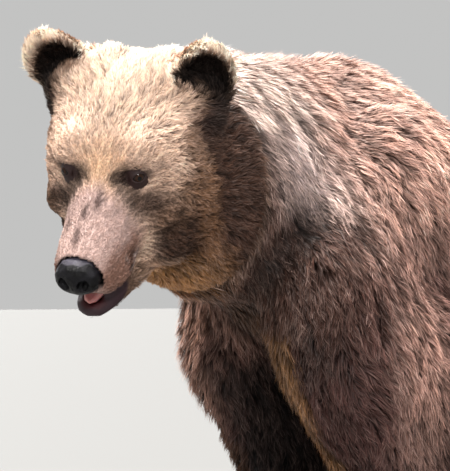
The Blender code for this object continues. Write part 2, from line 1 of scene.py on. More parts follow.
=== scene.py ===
"""The looks of a life-size brown bear: one skin over its flesh, a coat of mesh tufts, and a detailed face.

The flesh nodes of the frame give the outline at the tips of the coat. The skin is their fused surface,
drawn in by the coat's depth, which differs over the body. Tufts grow from it in clumps that follow the lie
of the coat, and skin and tufts take their colours from the same markings, in which light and shade are
painted too.
"""

import itertools
import math
from collections import namedtuple

import bmesh
import bpy
import numpy as np
from mathutils import Matrix, Vector
from mathutils.bvhtree import BVHTree


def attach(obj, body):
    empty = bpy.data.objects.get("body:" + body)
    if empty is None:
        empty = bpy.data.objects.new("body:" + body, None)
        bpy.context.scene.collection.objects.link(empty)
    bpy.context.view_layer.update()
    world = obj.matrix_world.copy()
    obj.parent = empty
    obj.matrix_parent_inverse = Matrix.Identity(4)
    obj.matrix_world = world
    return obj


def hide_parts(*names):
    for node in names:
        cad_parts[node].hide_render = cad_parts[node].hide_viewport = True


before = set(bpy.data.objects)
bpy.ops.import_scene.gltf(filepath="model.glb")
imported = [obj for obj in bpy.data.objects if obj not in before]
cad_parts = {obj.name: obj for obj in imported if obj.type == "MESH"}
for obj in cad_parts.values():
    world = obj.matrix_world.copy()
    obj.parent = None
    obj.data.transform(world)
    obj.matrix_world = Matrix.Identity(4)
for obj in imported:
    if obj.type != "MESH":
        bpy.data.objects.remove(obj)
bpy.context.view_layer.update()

SIDES = {"left": 1, "right": -1}
BODY = "root"
UV_NAME = "OFBake"  # the map that the skin's and coat's colours are baked through

FLESH = ["head", "jaw_lower", "ear_left", "ear_right", "neck", "trunk", "tail"]
for limb in ("upper_arm", "forearm", "forepaw", "thigh", "shank", "hindpaw"):
    FLESH += [f"{limb}_{side}" for side in SIDES]


# ---- small tools ----


def unit(vectors):
    vectors = np.asarray(vectors, float)
    return vectors / np.maximum(np.linalg.norm(vectors, axis=-1, keepdims=True), 1e-9)


def ramp(values, low, high):
    """0 at low, 1 at high and smooth between, whichever of the two is larger."""
    share = np.clip((values - low) / (high - low), 0, 1)
    return share * share * (3 - 2 * share)


def spot(points, centre, radii):
    """1 at a centre, fading smoothly to 0 at an ellipsoid around it."""
    away = np.linalg.norm((points - np.array(centre)) / np.array(radii), axis=1)
    return ramp(away, 1.0, 0.0)


def along_path(points, path, reach):
    """1 on a line through places, fading smoothly to 0 at a distance from it."""
    nearest = np.full(len(points), np.inf)
    for start, end in itertools.pairwise(np.array(path)):
        way = end - start
        share = np.clip((points - start) @ way / (way @ way), 0, 1)
        nearest = np.minimum(nearest, np.linalg.norm(points - start - share[:, None] * way, axis=1))
    return ramp(nearest, reach, 0.0)


def on_side(places, s):
    """Places given for the left side, on the left if s is 1 and mirrored if it is -1."""
    return np.array(places) * (s, 1, 1)


LATTICE = np.random.default_rng(11).random((32, 32, 32))


def noise(points, size, shift=0.0):
    """Smooth noise from -1 to 1, in blotches of about this size."""
    place = points / size + shift
    base = np.floor(place).astype(int)
    part = place - base
    part = part * part * (3 - 2 * part)
    total = np.zeros(len(points))
    for corner in itertools.product((0, 1), repeat=3):
        cell = (base + corner) % len(LATTICE)
        weight = np.prod(np.where(corner, part, 1 - part), axis=1)
        total += weight * LATTICE[cell[:, 0], cell[:, 1], cell[:, 2]]
    return total * 2 - 1


def linear(red, green, blue):
    """A colour as the eye sees it, from 0 to 1, in the renderer's linear numbers."""
    return np.array([red, green, blue]) ** 2.2


def mixed(base, over, share):
    share = np.asarray(share)[:, None]
    return base * (1 - share) + np.asarray(over) * share


def read(items, key, width, kind=float):
    """One property of all of a mesh's vertices, corners or triangles, in rows of this width."""
    flat = np.empty(len(items) * width, kind)
    items.foreach_get(key, flat)
    return flat.reshape(-1, width)


def coordinates(mesh):
    return read(mesh.vertices, "co", 3)


def node_points(name):
    return coordinates(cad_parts[name].data)


def link(name, mesh):
    obj = bpy.data.objects.new(name, mesh)
    bpy.context.scene.collection.objects.link(obj)
    return obj


def from_bmesh(name, bm):
    mesh = bpy.data.meshes.new(name)
    bm.to_mesh(mesh)
    bm.free()
    return link(name, mesh)


def mesh_object(name, verts, faces, material):
    """A smooth piece made from arrays: verts is (N, 3), and faces is (M, 3) or (M, 4)."""
    mesh = bpy.data.meshes.new(name)
    mesh.vertices.add(len(verts))
    mesh.vertices.foreach_set("co", np.ascontiguousarray(verts, np.float32).ravel())
    corners = faces.shape[1]
    mesh.loops.add(faces.size)
    mesh.loops.foreach_set("vertex_index", np.ascontiguousarray(faces, np.int32).ravel())
    mesh.polygons.add(len(faces))
    mesh.polygons.foreach_set("loop_start", np.arange(0, faces.size, corners, dtype=np.int32))
    mesh.update(calc_edges=True)
    mesh.shade_smooth()
    mesh.materials.append(material)
    return link(name, mesh)


def settled(obj):
    """Applies an object's modifiers."""
    graph = bpy.context.evaluated_depsgraph_get()
    mesh = bpy.data.meshes.new_from_object(obj.evaluated_get(graph))
    obj.modifiers.clear()
    obj.data = mesh
    return obj


WELD = 0.00002  # joins the corners that a node's faces share


def node_copy(name, nodes, grow=0.0):
    """One object with copies of nodes, each grown a little so that neighbours overlap."""
    whole = bmesh.new()
    for node in nodes:
        bm = bmesh.new()
        bm.from_mesh(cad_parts[node].data)
        bmesh.ops.remove_doubles(bm, verts=bm.verts, dist=WELD)
        bm.normal_update()
        moves = [vert.normal * grow for vert in bm.verts]
        for vert, move in zip(bm.verts, moves):
            vert.co += move
        part = bpy.data.meshes.new(node)
        bm.to_mesh(part)
        bm.free()
        whole.from_mesh(part)
        bpy.data.meshes.remove(part)
    return from_bmesh(name, whole)


def remeshed(obj, voxel, rounds):
    """Makes an object one even closed surface and smooths it."""
    remesh = obj.modifiers.new("Remesh", "REMESH")
    remesh.mode = "VOXEL"
    remesh.voxel_size = voxel
    smooth = obj.modifiers.new("Smooth", "SMOOTH")
    smooth.factor, smooth.iterations = 0.5, rounds
    return settled(obj)


def finished(obj, material):
    """Gives a piece its one material and smooth shading."""
    obj.data.materials.clear()
    obj.data.materials.append(material)
    obj.data.shade_smooth()


def put_places(mesh, verts):
    mesh.vertices.foreach_set("co", np.ascontiguousarray(verts, np.float32).ravel())
    mesh.update()


def put(mesh, name, kind, key, values):
    """An attribute with a value at each vertex."""
    layer = mesh.attributes.new(name, kind, "POINT")
    layer.data.foreach_set(key, np.asarray(values, np.float32).ravel())


def put_colours(mesh, colours):
    opaque = np.ones((len(colours), 1))
    put(mesh, "markings_and_painted_light", "FLOAT_COLOR", "color", np.hstack([np.clip(colours, 0, 1), opaque]))


def put_skin_values(mesh, bare, lay):
    """How bare the skin is at each vertex, and the place that its streaks are drawn from."""
    put(mesh, "bare", "FLOAT", "value", bare)
    put(mesh, "lay", "FLOAT_VECTOR", "vector", lay)


def put_map(mesh, corners):
    layer = mesh.uv_layers.new(name=UV_NAME)
    layer.data.foreach_set("uv", np.ascontiguousarray(corners, np.float32).ravel())


# ---- the head's own frame, found from its eyes and nose ----

# The nose pad's middle lies this far ahead of the eyes' middle and below it, and the frame's origin this
# far behind and below the eyes
NOSE_AHEAD, NOSE_BELOW = 0.147, 0.079
EYES_AHEAD, EYES_ABOVE = 0.200, 0.097
EYE_IN_HEAD = (0.0535, EYES_AHEAD, EYES_ABOVE)  # the left eye

EYE_PLACES = {side: node_points("eye_" + side).mean(0) for side in SIDES}
EYE_RADIUS = np.ptp(node_points("eye_left"), axis=0).max() / 2
ACROSS = unit(EYE_PLACES["left"] - EYE_PLACES["right"])
EYE_MIDDLE = (EYE_PLACES["left"] + EYE_PLACES["right"]) / 2
to_nose = node_points("nose_pad").mean(0) - EYE_MIDDLE
to_nose = unit(to_nose - ACROSS * (to_nose @ ACROSS))
above_nose = np.cross(to_nose, ACROSS)
nose_drop = math.atan2(NOSE_BELOW, NOSE_AHEAD)
FORWARD = math.cos(nose_drop) * to_nose + math.sin(nose_drop) * above_nose
UP = math.cos(nose_drop) * above_nose - math.sin(nose_drop) * to_nose
HEAD_ORIGIN = EYE_MIDDLE - EYES_AHEAD * FORWARD - EYES_ABOVE * UP
HEAD_AXES = np.array([ACROSS, FORWARD, UP])


def in_head(points):
    """(across, forward, up) of points, with across to the bear's left."""
    return (points - HEAD_ORIGIN) @ HEAD_AXES.T


def from_head(places):
    return np.asarray(places, float) @ HEAD_AXES + HEAD_ORIGIN


def head_direction(across, forward, up):
    return unit(np.array([across, forward, up]) @ HEAD_AXES)


def ear_axes(side):
    """An ear's middle and its axes: across, forwards through the disc, and up."""
    points = node_points("ear_" + side)
    middle = (points.min(0) + points.max(0)) / 2
    axes = np.linalg.svd(points - points.mean(0), full_matrices=False)[2]
    through = axes[2] * np.sign(axes[2] @ FORWARD)
    high = unit(UP - through * (UP @ through))
    return middle, np.array([np.cross(high, through), through, high])


# ---- colours, and what grows on each kind of flesh ----

GOLD = linear(0.86, 0.72, 0.63)
CROWN = linear(0.87, 0.755, 0.665)
BROW = linear(0.87, 0.71, 0.57)
MUZZLE = linear(0.73, 0.615, 0.58)
NOSE_EDGE = linear(0.20, 0.165, 0.165)
NOSTRIL = linear(0.05, 0.035, 0.035)
MUZZLE_SIDE = linear(0.55, 0.41, 0.355)
SMUDGE = linear(0.33, 0.255, 0.24)
CHEEK = linear(0.43, 0.305, 0.215)
DARK_CHEEK = linear(0.19, 0.11, 0.07)
SOCKET_AND_PAINTED_BROW_SHADE = linear(0.14, 0.088, 0.08)
EYE_SKIN = linear(0.175, 0.115, 0.11)
LIP = linear(0.20, 0.135, 0.155)
MOUTH = linear(0.25, 0.11, 0.12)
CHIN = linear(0.60, 0.48, 0.40)
GRIZZLE = linear(0.80, 0.74, 0.72)
THROAT = linear(0.59, 0.42, 0.26)
EAR_INSIDE = linear(0.070, 0.046, 0.038)
EAR_RIM = linear(0.99, 0.91, 0.83)
EAR_BACK = linear(0.70, 0.56, 0.47)
BEHIND_EAR = linear(0.21, 0.14, 0.115)
NAPE_AND_PAINTED_LIGHT = linear(0.92, 0.82, 0.77)
NECK_SIDE_AND_PAINTED_SHEEN = linear(0.97, 0.86, 0.835)
HUMP_AND_PAINTED_LIGHT = linear(0.79, 0.61, 0.545)
BELLY_AND_PAINTED_SHADE = linear(0.22, 0.145, 0.12)
SOLE = linear(0.10, 0.08, 0.075)
LEG_GOLD_AND_PAINTED_LIGHT = linear(0.58, 0.42, 0.27)
REAR = linear(0.45, 0.345, 0.255)
INNER_LEG_AND_PAINTED_SHADE = linear(0.075, 0.05, 0.045)
CHEST_GOLD = linear(0.25, 0.155, 0.07)
NECK = linear(0.33, 0.235, 0.205)
TRUNK = linear(0.57, 0.425, 0.375)
TAIL = linear(0.40, 0.28, 0.23)
UPPER_ARM = linear(0.29, 0.192, 0.178)
FOREARM = linear(0.155, 0.10, 0.09)
THIGH = linear(0.33, 0.235, 0.185)
SHANK = linear(0.18, 0.115, 0.095)
PAW = linear(0.14, 0.092, 0.078)

# size is the coat's depth over the skin and the length and width of its locks, in metres. pale is how pale
# their tips are. lie is which way they lie, left, back and up, before they are laid along the surface; on the
# head and ears it is worked out. piece is the coat's piece, where the whole kind is in one
Growth = namedtuple("Growth", "size colour pale lie piece", defaults=(None, None))
GROWTH = {
    "head": Growth((0.0100, 0.0190, 0.0018), GOLD, 0.30),
    "jaw_lower": Growth((0.0040, 0.0110, 0.0013), CHIN, 0.35),
    "ear": Growth((0.0045, 0.0160, 0.0015), EAR_BACK, 0.20, None, "coat_ears"),
    "neck": Growth((0.0215, 0.0350, 0.0018), NECK, 0.75, (-0.05, 0.50, -0.85), "coat_neck"),
    "trunk": Growth((0.0215, 0.0350, 0.0019), TRUNK, 0.42, (0.0, 0.60, -0.80)),
    "tail": Growth((0.0160, 0.0380, 0.0024), TAIL, 0.3, (0.0, 0.30, -1.0), "coat_rump"),
    "upper_arm": Growth((0.0175, 0.0310, 0.0019), UPPER_ARM, 0.30, (0.0, 0.25, -1.0)),
    "forearm": Growth((0.0125, 0.0250, 0.0018), FOREARM, 0.20, (0.0, 0.18, -1.0), "coat_forelegs"),
    "forepaw": Growth((0.0060, 0.0180, 0.0021), PAW, 0.15, (0.0, -1.0, -0.35), "coat_forelegs"),
    "thigh": Growth((0.0200, 0.0350, 0.0021), THIGH, 0.45, (0.0, 0.45, -0.90), "coat_rump"),
    "shank": Growth((0.0140, 0.0280, 0.0020), SHANK, 0.30, (0.0, 0.20, -1.0), "coat_hindlegs"),
    "hindpaw": Growth((0.0060, 0.0180, 0.0021), PAW, 0.15, (0.0, -1.0, -0.35), "coat_hindlegs"),
}


def kind_of(node):
    return node.replace("_left", "").replace("_right", "")


def by_label(labels, field):
    """A field of GROWTH at each vertex."""
    return np.array([getattr(GROWTH[kind_of(name)], field) for name in FLESH])[labels]


def of_kind(labels, *kinds):
    """1 at the vertices of these kinds of flesh, 0 elsewhere."""
    return np.array([float(kind_of(name) in kinds) for name in FLESH])[labels]


# ---- the skin ----

SKIN_VOXEL = 0.004
SKIN_TRIANGLES = 120_000
SEAM = 0.0008  # closes the thin cuts between the nodes

MUZZLE_COAT = np.array([0.0020, 0.0048, 0.0008])
CROWN_GAIN = np.array([0.0105, 0.0165, 0.0009])  # how much more than the muzzle's the crown's coat is
NOSE_COAT = np.array([0.0012, 0.0034, 0.0007])  # beside the nose pad
SOLE_COAT_DEPTH = 0.0006


class Surface:
    """A triangle mesh held in arrays."""

    def __init__(self, mesh):
        mesh.calc_loop_triangles()
        self.verts = coordinates(mesh)
        self.tris = read(mesh.loop_triangles, "vertices", 3, np.int32)
        pairs = np.concatenate([self.tris[:, [0, 1]], self.tris[:, [1, 2]], self.tris[:, [2, 0]]])
        pairs = np.unique(np.sort(pairs, axis=1), axis=0)
        self.ends = (pairs[:, 0], pairs[:, 1])
        self.count = len(self.verts)
        self.degree = np.maximum(np.bincount(pairs.ravel(), minlength=self.count), 1)

    def around(self, values):
        """The mean of each vertex's neighbours."""
        a, b = self.ends
        flat = values.reshape(self.count, -1)
        total = np.empty_like(flat)
        for i in range(flat.shape[1]):
            total[:, i] = np.bincount(a, flat[b, i], self.count) + np.bincount(b, flat[a, i], self.count)
        return (total / self.degree[:, None]).reshape(values.shape)

    def spread(self, values, rounds):
        """Values blended with their neighbours', over and over."""
        values = np.asarray(values, float)
        for _ in range(rounds):
            values = (values + self.around(values)) / 2
        return values

    def normals(self):
        corners = self.verts[self.tris]
        faces = np.cross(corners[:, 1] - corners[:, 0], corners[:, 2] - corners[:, 0])
        total = np.zeros((self.count, 3))
        for i, k in itertools.product(range(3), range(3)):
            total[:, i] += np.bincount(self.tris[:, k], faces[:, i], self.count)
        return unit(total)


def fused_flesh():
    """The flesh, eyes and nose as one closed surface, fine on the head and smooth on the body."""
    obj = node_copy("skin", [*FLESH, "eye_left", "eye_right", "nose_pad"], SEAM)
    remeshed(obj, SKIN_VOXEL, 3)
    verts = coordinates(obj.data)
    middle_of_face = HEAD_ORIGIN + FORWARD * 0.15
    far = ramp(np.linalg.norm(verts - middle_of_face, axis=1), 0.20, 0.36)
    paws = ramp(verts[:, 2], 0.05, 0.16)
    smooth = obj.vertex_groups.new(name="smooth")
    thin = obj.vertex_groups.new(name="thin")
    for group, weights in ((smooth, far * paws), (thin, far)):
        for level in range(1, 11):
            chosen = np.nonzero(np.round(weights * 10) == level)[0]
            group.add(chosen.tolist(), level / 10, "REPLACE")
    even = obj.modifiers.new("Even", "SMOOTH")
    even.factor, even.iterations = 0.5, 60
    even.vertex_group = smooth.name
    fewer = obj.modifiers.new("Fewer", "DECIMATE")
    fewer.ratio = SKIN_TRIANGLES / (2 * len(obj.data.polygons))
    fewer.vertex_group = thin.name
    fewer.vertex_group_factor = 2.0
    settled(obj)
    obj.vertex_groups.clear()
    return obj


def nearest_nodes(points):
    """The index in FLESH of the node that lies nearest each point."""
    verts, faces, owners = [], [], []
    for index, name in enumerate(FLESH):
        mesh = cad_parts[name].data
        start = len(verts)
        verts += [vert.co for vert in mesh.vertices]
        faces += [[start + i for i in polygon.vertices] for polygon in mesh.polygons]
        owners += [index] * len(mesh.polygons)
    tree = BVHTree.FromPolygons(verts, faces)
    return np.array([owners[tree.find_nearest(point)[2]] for point in points])


def gap_to(node, points):
    """How far each point is from a node's surface, and 0 inside it."""
    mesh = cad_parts[node].data
    tree = BVHTree.FromPolygons(coordinates(mesh).tolist(), [poly.vertices[:] for poly in mesh.polygons])
    gaps = np.full(len(points), 1.0)
    near = np.linalg.norm(points - coordinates(mesh).mean(0), axis=1) < 0.08
    for index in np.flatnonzero(near):
        spot_on, normal, _, distance = tree.find_nearest(Vector(points[index]))
        inside = (Vector(points[index]) - spot_on).dot(normal) < 0
        gaps[index] = 0.0 if inside else distance
    return gaps


# Folds of the loose skin, drawn in and darkened with painted shade: each one's line on the left side, its reach
# and depth, and if the right side has it
FOLDS = [
    ([(0.06, -0.24, 1.08), (0.13, -0.275, 1.032), (0.180, -0.300, 0.982), (0.212, -0.331, 0.933),
      (0.232, -0.350, 0.870), (0.254, -0.357, 0.823), (0.271, -0.345, 0.783)], 0.022, 0.62, True),
    ([(0.225, -0.234, 0.979), (0.245, -0.243, 0.943), (0.256, -0.248, 0.901), (0.265, -0.250, 0.849),
      (0.278, -0.262, 0.790)], 0.022, 0.55, True),
    ([(0.124, -0.236, 1.032), (0.216, -0.281, 0.963), (0.239, -0.311, 0.891), (0.257, -0.323, 0.831),
      (0.276, -0.328, 0.767), (0.284, -0.302, 0.733)], 0.020, 0.40, True),
    ([(0.205, -0.430, 0.985), (0.215, -0.425, 0.930), (0.225, -0.405, 0.887), (0.234, -0.408, 0.829)],
     0.020, 0.42, True),
    ([(0.239, -0.415, 0.815), (0.231, -0.453, 0.775), (0.213, -0.469, 0.751), (0.199, -0.487, 0.722),
      (0.161, -0.487, 0.688)], 0.036, 0.95, False),
]


def folds(points):
    """How deep in a fold each point is, from 0 to 1."""
    deep = np.zeros(len(points))
    for path, reach, depth, both in FOLDS:
        for s in (1, -1) if both else (1,):
            deep = np.maximum(deep, along_path(on_side(points, s), path, reach) * depth)
    return deep


def coat_fields(surface, labels, head, nose_gap):
    """The coat's depth, its hairs' length and their width at each vertex, blended over the nodes' borders."""
    values = surface.spread(by_label(labels, "size"), 40)
    on_head = surface.spread(of_kind(labels, "head", "jaw_lower"), 12)
    _, ahead, up = head.T
    back = np.maximum(ramp(ahead, 0.235, 0.020), 0.60 * ramp(up, -0.048, -0.066) * ramp(ahead, 0.262, 0.225))
    face = MUZZLE_COAT + np.outer(back, CROWN_GAIN)
    values = values * (1 - on_head[:, None]) + face * on_head[:, None]
    for s in SIDES.values():
        near_eye = spot(head, on_side(EYE_IN_HEAD, s), (0.040, 0.040, 0.036))
        values *= 1 - 0.55 * near_eye[:, None]
    near_nose = ramp(nose_gap, 0.020, 0.004)[:, None]
    values = values * (1 - near_nose) + NOSE_COAT * near_nose
    sole = ramp(surface.verts[:, 2], 0.020, 0.004)
    values[:, 0] = values[:, 0] * (1 - sole) + SOLE_COAT_DEPTH * sole
    values[:, :2] *= 1 - np.outer(folds(surface.verts), (0.55, 0.35))
    return values.T


CHIN_PLACE = from_head([(0.0, 0.215, -0.085)])[0]
# Where the outline is fuller, or slimmer, than the coat's own depth makes it: a place in the world, how far
# around it, and by how much
FULL = [
    ((0.03, -0.33, 1.060), (0.13, 0.14, 0.10), 0.024),
    ((-0.25, -0.33, 0.54), (0.12, 0.12, 0.26), 0.036),
    ((-0.24, -0.27, 0.33), (0.10, 0.10, 0.20), 0.042),
    (CHIN_PLACE, (0.060, 0.060, 0.045), 0.016),
    ((0.19, -0.11, 0.990), (0.13, 0.16, 0.10), -0.016),
    ((-0.19, -0.11, 0.990), (0.13, 0.16, 0.10), -0.016),
]


def fullness(points):
    """How much further out the skin lies at each point, and how much deeper the coat on it is."""
    return sum(height * spot(points, place, radii) for place, radii, height in FULL) * 0.5


TEMPLE = ((0.112, 0.150, 0.110), (0.070, 0.105, 0.100))  # its place and radii in the head's frame
TEMPLE_DEPTH = 0.0150
FOLD_DEPTH = 0.014
DRAWING_STEPS = 6
LOWEST_SKIN = 0.0004  # above the floor


def narrowed(surface, head, depth):
    """The depth to draw the skin in by: the coat's, more at the temples and in the body's folds."""
    place, radii = TEMPLE
    for s in SIDES.values():
        depth = depth + TEMPLE_DEPTH * spot(head, on_side(place, s), radii)
    return depth + FOLD_DEPTH * folds(surface.verts) - fullness(surface.verts)


def draw_in(surface, depth):
    """Moves the surface in a little at a time, keeping it smooth where the coat is deep."""
    soft = ramp(depth, 0.008, 0.020)[:, None] * 0.6
    for _ in range(DRAWING_STEPS):
        surface.verts = surface.verts - surface.normals() * (depth / DRAWING_STEPS)[:, None]
        surface.verts = surface.verts * (1 - soft) + surface.spread(surface.verts, 1) * soft
    surface.verts[:, 2] = np.maximum(surface.verts[:, 2], LOWEST_SKIN)


def behind_nose(head):
    """1 where the skin is hidden by the nose pad, its nostrils included."""
    across, ahead, up = head.T
    return ((ahead > 0.334) & (up > -0.008) & (np.abs(across) < 0.036)).astype(float)


# The face's forms, in the head's frame: a place on the left side and how far around it, or a line
BROW_RIDGE = ((0.046, 0.196, 0.122), (0.034, 0.034, 0.013))
EYE_BAG = ((0.056, 0.206, 0.076), (0.016, 0.024, 0.010))
INNER_HOLLOW = ((0.038, 0.214, 0.100), (0.018, 0.030, 0.016))
TEAR_GROOVE = [(0.033, 0.218, 0.096), (0.045, 0.220, 0.076), (0.057, 0.222, 0.055)]


def sculpt_face(surface, head, nose_gap):
    """Presses the skin in behind the nose pad, and shapes the brows and the hollows round the eyes."""
    push = 0.0022 * ramp(nose_gap, 0.0030, 0.0010) + 0.0148 * ramp(nose_gap, 0.0008, 0.0)
    surface.verts -= FORWARD * np.maximum(push, 0.0170 * behind_nose(head))[:, None]
    for s in SIDES.values():
        brow, bag, hollow = (
            spot(head, on_side(place, s), radii) for place, radii in (BROW_RIDGE, EYE_BAG, INNER_HOLLOW)
        )
        groove = along_path(surface.verts, from_head(on_side(TEAR_GROOVE, s)), 0.010)
        out = UP * 0.6 + FORWARD * 0.6
        back = ACROSS * s * 0.5 + UP * 0.4 + FORWARD * 0.7
        surface.verts += out * (0.0045 * brow + 0.0020 * bag)[:, None]
        surface.verts -= back * (0.0040 * hollow + 0.0026 * groove)[:, None]


def slim_ear(surface, labels):
    """Brings the left ear's sides in: its coat is thicker there."""
    mask = surface.spread((labels == FLESH.index("ear_left")).astype(float), 5)
    middle, axes = ear_axes("left")
    local = (surface.verts - middle) @ axes[0]
    surface.verts -= axes[0] * (0.13 * local * mask)[:, None]


EYE_AXIS = (0.60, 0.76, 0.20)  # where the left eye looks, in the head's frame
EYE_BOWL = (0.014, 0.021)  # the skin dives behind the eyeball within these distances of its centre
EYE_SET_BACK, EYE_RAISED = 0.0030, 0.0020  # from the CAD's eyeball to the looks' one
BOWL_GAP = 0.0030  # from the eyeball's surface in to the bowl
LID_RISE = math.radians(10)  # the outer corner is this much higher than the inner one
LID_SPAN = (math.radians(47), math.radians(29), math.radians(23))  # half angles: to a corner, up and down
LID_ROWS = (  # how far out from the opening, and how far above the eyeball
    (0.99, -0.0004), (1.00, 0.0006), (1.06, 0.0013), (1.20, 0.0018), (1.42, 0.0014), (1.62, 0.0019),
)
LID_OUTER = (  # on the face: distance from the eye's axis, height over the face, share of the way to it
    (0.0172, 0.0004, 0.55), (0.0200, 0.0, 0.85), (0.0230, -0.0006, 1.0), (0.0262, -0.0022, 1.0),
)
LID_SEGMENTS = 72


def gaze_of(side):
    """The way that an eye looks."""
    return head_direction(SIDES[side] * EYE_AXIS[0], EYE_AXIS[1], EYE_AXIS[2])


def eye_centre(side):
    """The looks' eyeball sits a little deeper than the CAD's."""
    return EYE_PLACES[side] - gaze_of(side) * EYE_SET_BACK + UP * EYE_RAISED


def eye_axes(side):
    """The eye's outward axis, the way to its outer corner, and its up."""
    s, gaze = SIDES[side], gaze_of(side)
    outer = unit(ACROSS * s - gaze * (ACROSS @ gaze) * s)
    lift = np.cross(gaze, outer) * s
    turned = outer * math.cos(LID_RISE) + lift * math.sin(LID_RISE)
    return gaze, turned, np.cross(gaze, turned) * s


def bowls(surface):
    """Hollows the skin out behind the eyeballs."""
    low, high = EYE_BOWL
    for side in SIDES:
        centre = eye_centre(side)
        away = surface.verts - centre
        distance = np.linalg.norm(away, axis=1)
        inside = ramp(distance, high, low)
        new = distance * (1 - inside) + (EYE_RADIUS - BOWL_GAP) * inside
        surface.verts = centre + away * (new / np.maximum(distance, 1e-9))[:, None]


def eyelids(side, face_tree):
    """Both lids of one eye: a ring from its almond opening out to the face."""
    centre = eye_centre(side)
    gaze, outer, lift = eye_axes(side)
    to_corner, to_top, to_bottom = LID_SPAN
    turns = np.arange(LID_SEGMENTS) * math.tau / LID_SEGMENTS
    height = np.sign(np.sin(turns)) * np.abs(np.sin(turns)) ** 1.35
    pan = to_corner * np.cos(turns)
    tilt = np.where(height > 0, to_top, to_bottom) * height
    rows = []
    for scale, above in LID_ROWS:
        p, q = pan * scale, tilt * scale
        ways = (
            gaze * (np.cos(p) * np.cos(q))[:, None]
            + outer * (np.sin(p) * np.cos(q))[:, None]
            + lift * np.sin(q)[:, None]
        )
        rows.append(centre + ways * (EYE_RADIUS + above))
    last = rows[-1]
    for reach, above, share in LID_OUTER:
        ring = centre + gaze * 0.008 + (outer * np.cos(turns)[:, None] + lift * np.sin(turns)[:, None]) * reach
        found = [face_tree.find_nearest(Vector(point)) for point in ring]
        on_face = np.array([np.array(hit[0]) + np.array(hit[1]) * above for hit in found])
        rows.append(last * (1 - share) + on_face * share)
    faces = []
    for a, i in itertools.product(range(0, (len(rows) - 1) * LID_SEGMENTS, LID_SEGMENTS), range(LID_SEGMENTS)):
        b, j = a + LID_SEGMENTS, (i + 1) % LID_SEGMENTS
        faces.append((a + i, a + j, b + j, b + i) if side == "left" else (a + i, b + i, b + j, a + j))
    return np.concatenate(rows), faces


# ---- markings, with painted light and shade, shared by skin and coat ----

NECK_PATCH = [(0.199, -0.487, 0.97), (0.222, -0.440, 0.91), (0.228, -0.432, 0.885)]  # in the world
NECK_PATCH_REACH = 0.100
LEG_FRONT_FACES = np.array([-0.45, -0.89, 0.0])  # the way that the forelegs' lit sides face, where gold is painted: partly the fur's gold, partly painted light
# Spots on the body: colour, middle and radii in the world, strength. The first is painted shade between the
# chest and the near foreleg, the second painted light on the near upper arm's bulge
SIDE_SPOTS = [
    (BELLY_AND_PAINTED_SHADE, (0.255, -0.435, 0.665), (0.08, 0.09, 0.19), 0.90),
    (HUMP_AND_PAINTED_LIGHT, (0.300, -0.235, 0.590), (0.09, 0.13, 0.30), 0.55),
    (HUMP_AND_PAINTED_LIGHT, (-0.240, -0.340, 0.570), (0.14, 0.14, 0.22), 0.35),
]
# Spots on the chest; the second is painted shade between the chest and the near foreleg
CHEST_SPOTS = [
    (BELLY_AND_PAINTED_SHADE, (0.270, -0.370, 0.800), (0.10, 0.11, 0.13), 0.25),
    (INNER_LEG_AND_PAINTED_SHADE, (0.235, -0.455, 0.610), (0.07, 0.08, 0.11), 0.7),
]
UNDER_CHEST_SPOTS = [(CHEST_GOLD, (0.04, -0.42, 0.63), (0.24, 0.20, 0.19), 0.95)]

# On the head, in its own frame
SMUDGES = [(0.010, 0.254, 0.087), (-0.006, 0.270, 0.081), (-0.030, 0.276, 0.064), (-0.007, 0.307, 0.065)]
WHISKERS = [(0.052, 0.268, -0.002), (0.044, 0.236, -0.034)]
# Strokes on both sides of the face: colour, line on the left side, reach, how much the middle is widened,
# the pattern that breaks it up, strength
FACE_STROKES = [
    (SOCKET_AND_PAINTED_BROW_SHADE, [(0.040, 0.222, 0.088), (0.056, 0.220, 0.060), (0.074, 0.204, 0.058)], 0.024, 1.5, "even", 0.72),
    (DARK_CHEEK, [(0.060, 0.215, 0.058), (0.088, 0.195, 0.045), (0.1, 0.185, 0.02)], 0.034, 1.4, "even", 0.5),
    (DARK_CHEEK, WHISKERS, 0.024, 1.6, "blotches", 0.85),
    (GRIZZLE, WHISKERS, 0.024, 1.6, "grizzle", 0.50),
    # Along the upper lids: the dark skin round the eyes, and painted shade under the brows
    (SOCKET_AND_PAINTED_BROW_SHADE, [(0.024, 0.215, 0.101), (0.044, 0.206, 0.101)], 0.019, 1.6, "even", 0.85),
    (SOCKET_AND_PAINTED_BROW_SHADE, [(0.041, 0.208, 0.103), (0.061, 0.196, 0.102)], 0.020, 1.8, "even", 0.95),
]
EYE_BARE = 0.0135  # how far around an eye the skin is bare
MOUTH_CORNER_AHEAD = 0.254
INSIDE_MOUTH_AHEAD = 0.20
LIP_LINE = -0.046  # how high the lips meet
LIP_DEPTH = 0.012  # how far the lower lip's bare skin reaches down
LIP_FRONT_DEPTH = 0.016  # how much further down it reaches in front
EAR_HOLLOW = {"left": (0.052, 0.068), "right": (0.042, 0.060)}  # half the width and height of the dark inside
EAR_HOLLOW_RISE = -0.008  # how far its middle is above the ear's


def in_ear(side, points):
    """Places' y and z in an ear's own axes, and how far out they are, 1 at the edge of its hollow."""
    middle, axes = ear_axes(side)
    x, y, z = ((points - middle) @ axes.T).T
    wide, tall = EAR_HOLLOW[side]
    return y, z, np.hypot(x / wide, (z - EAR_HOLLOW_RISE) / tall)


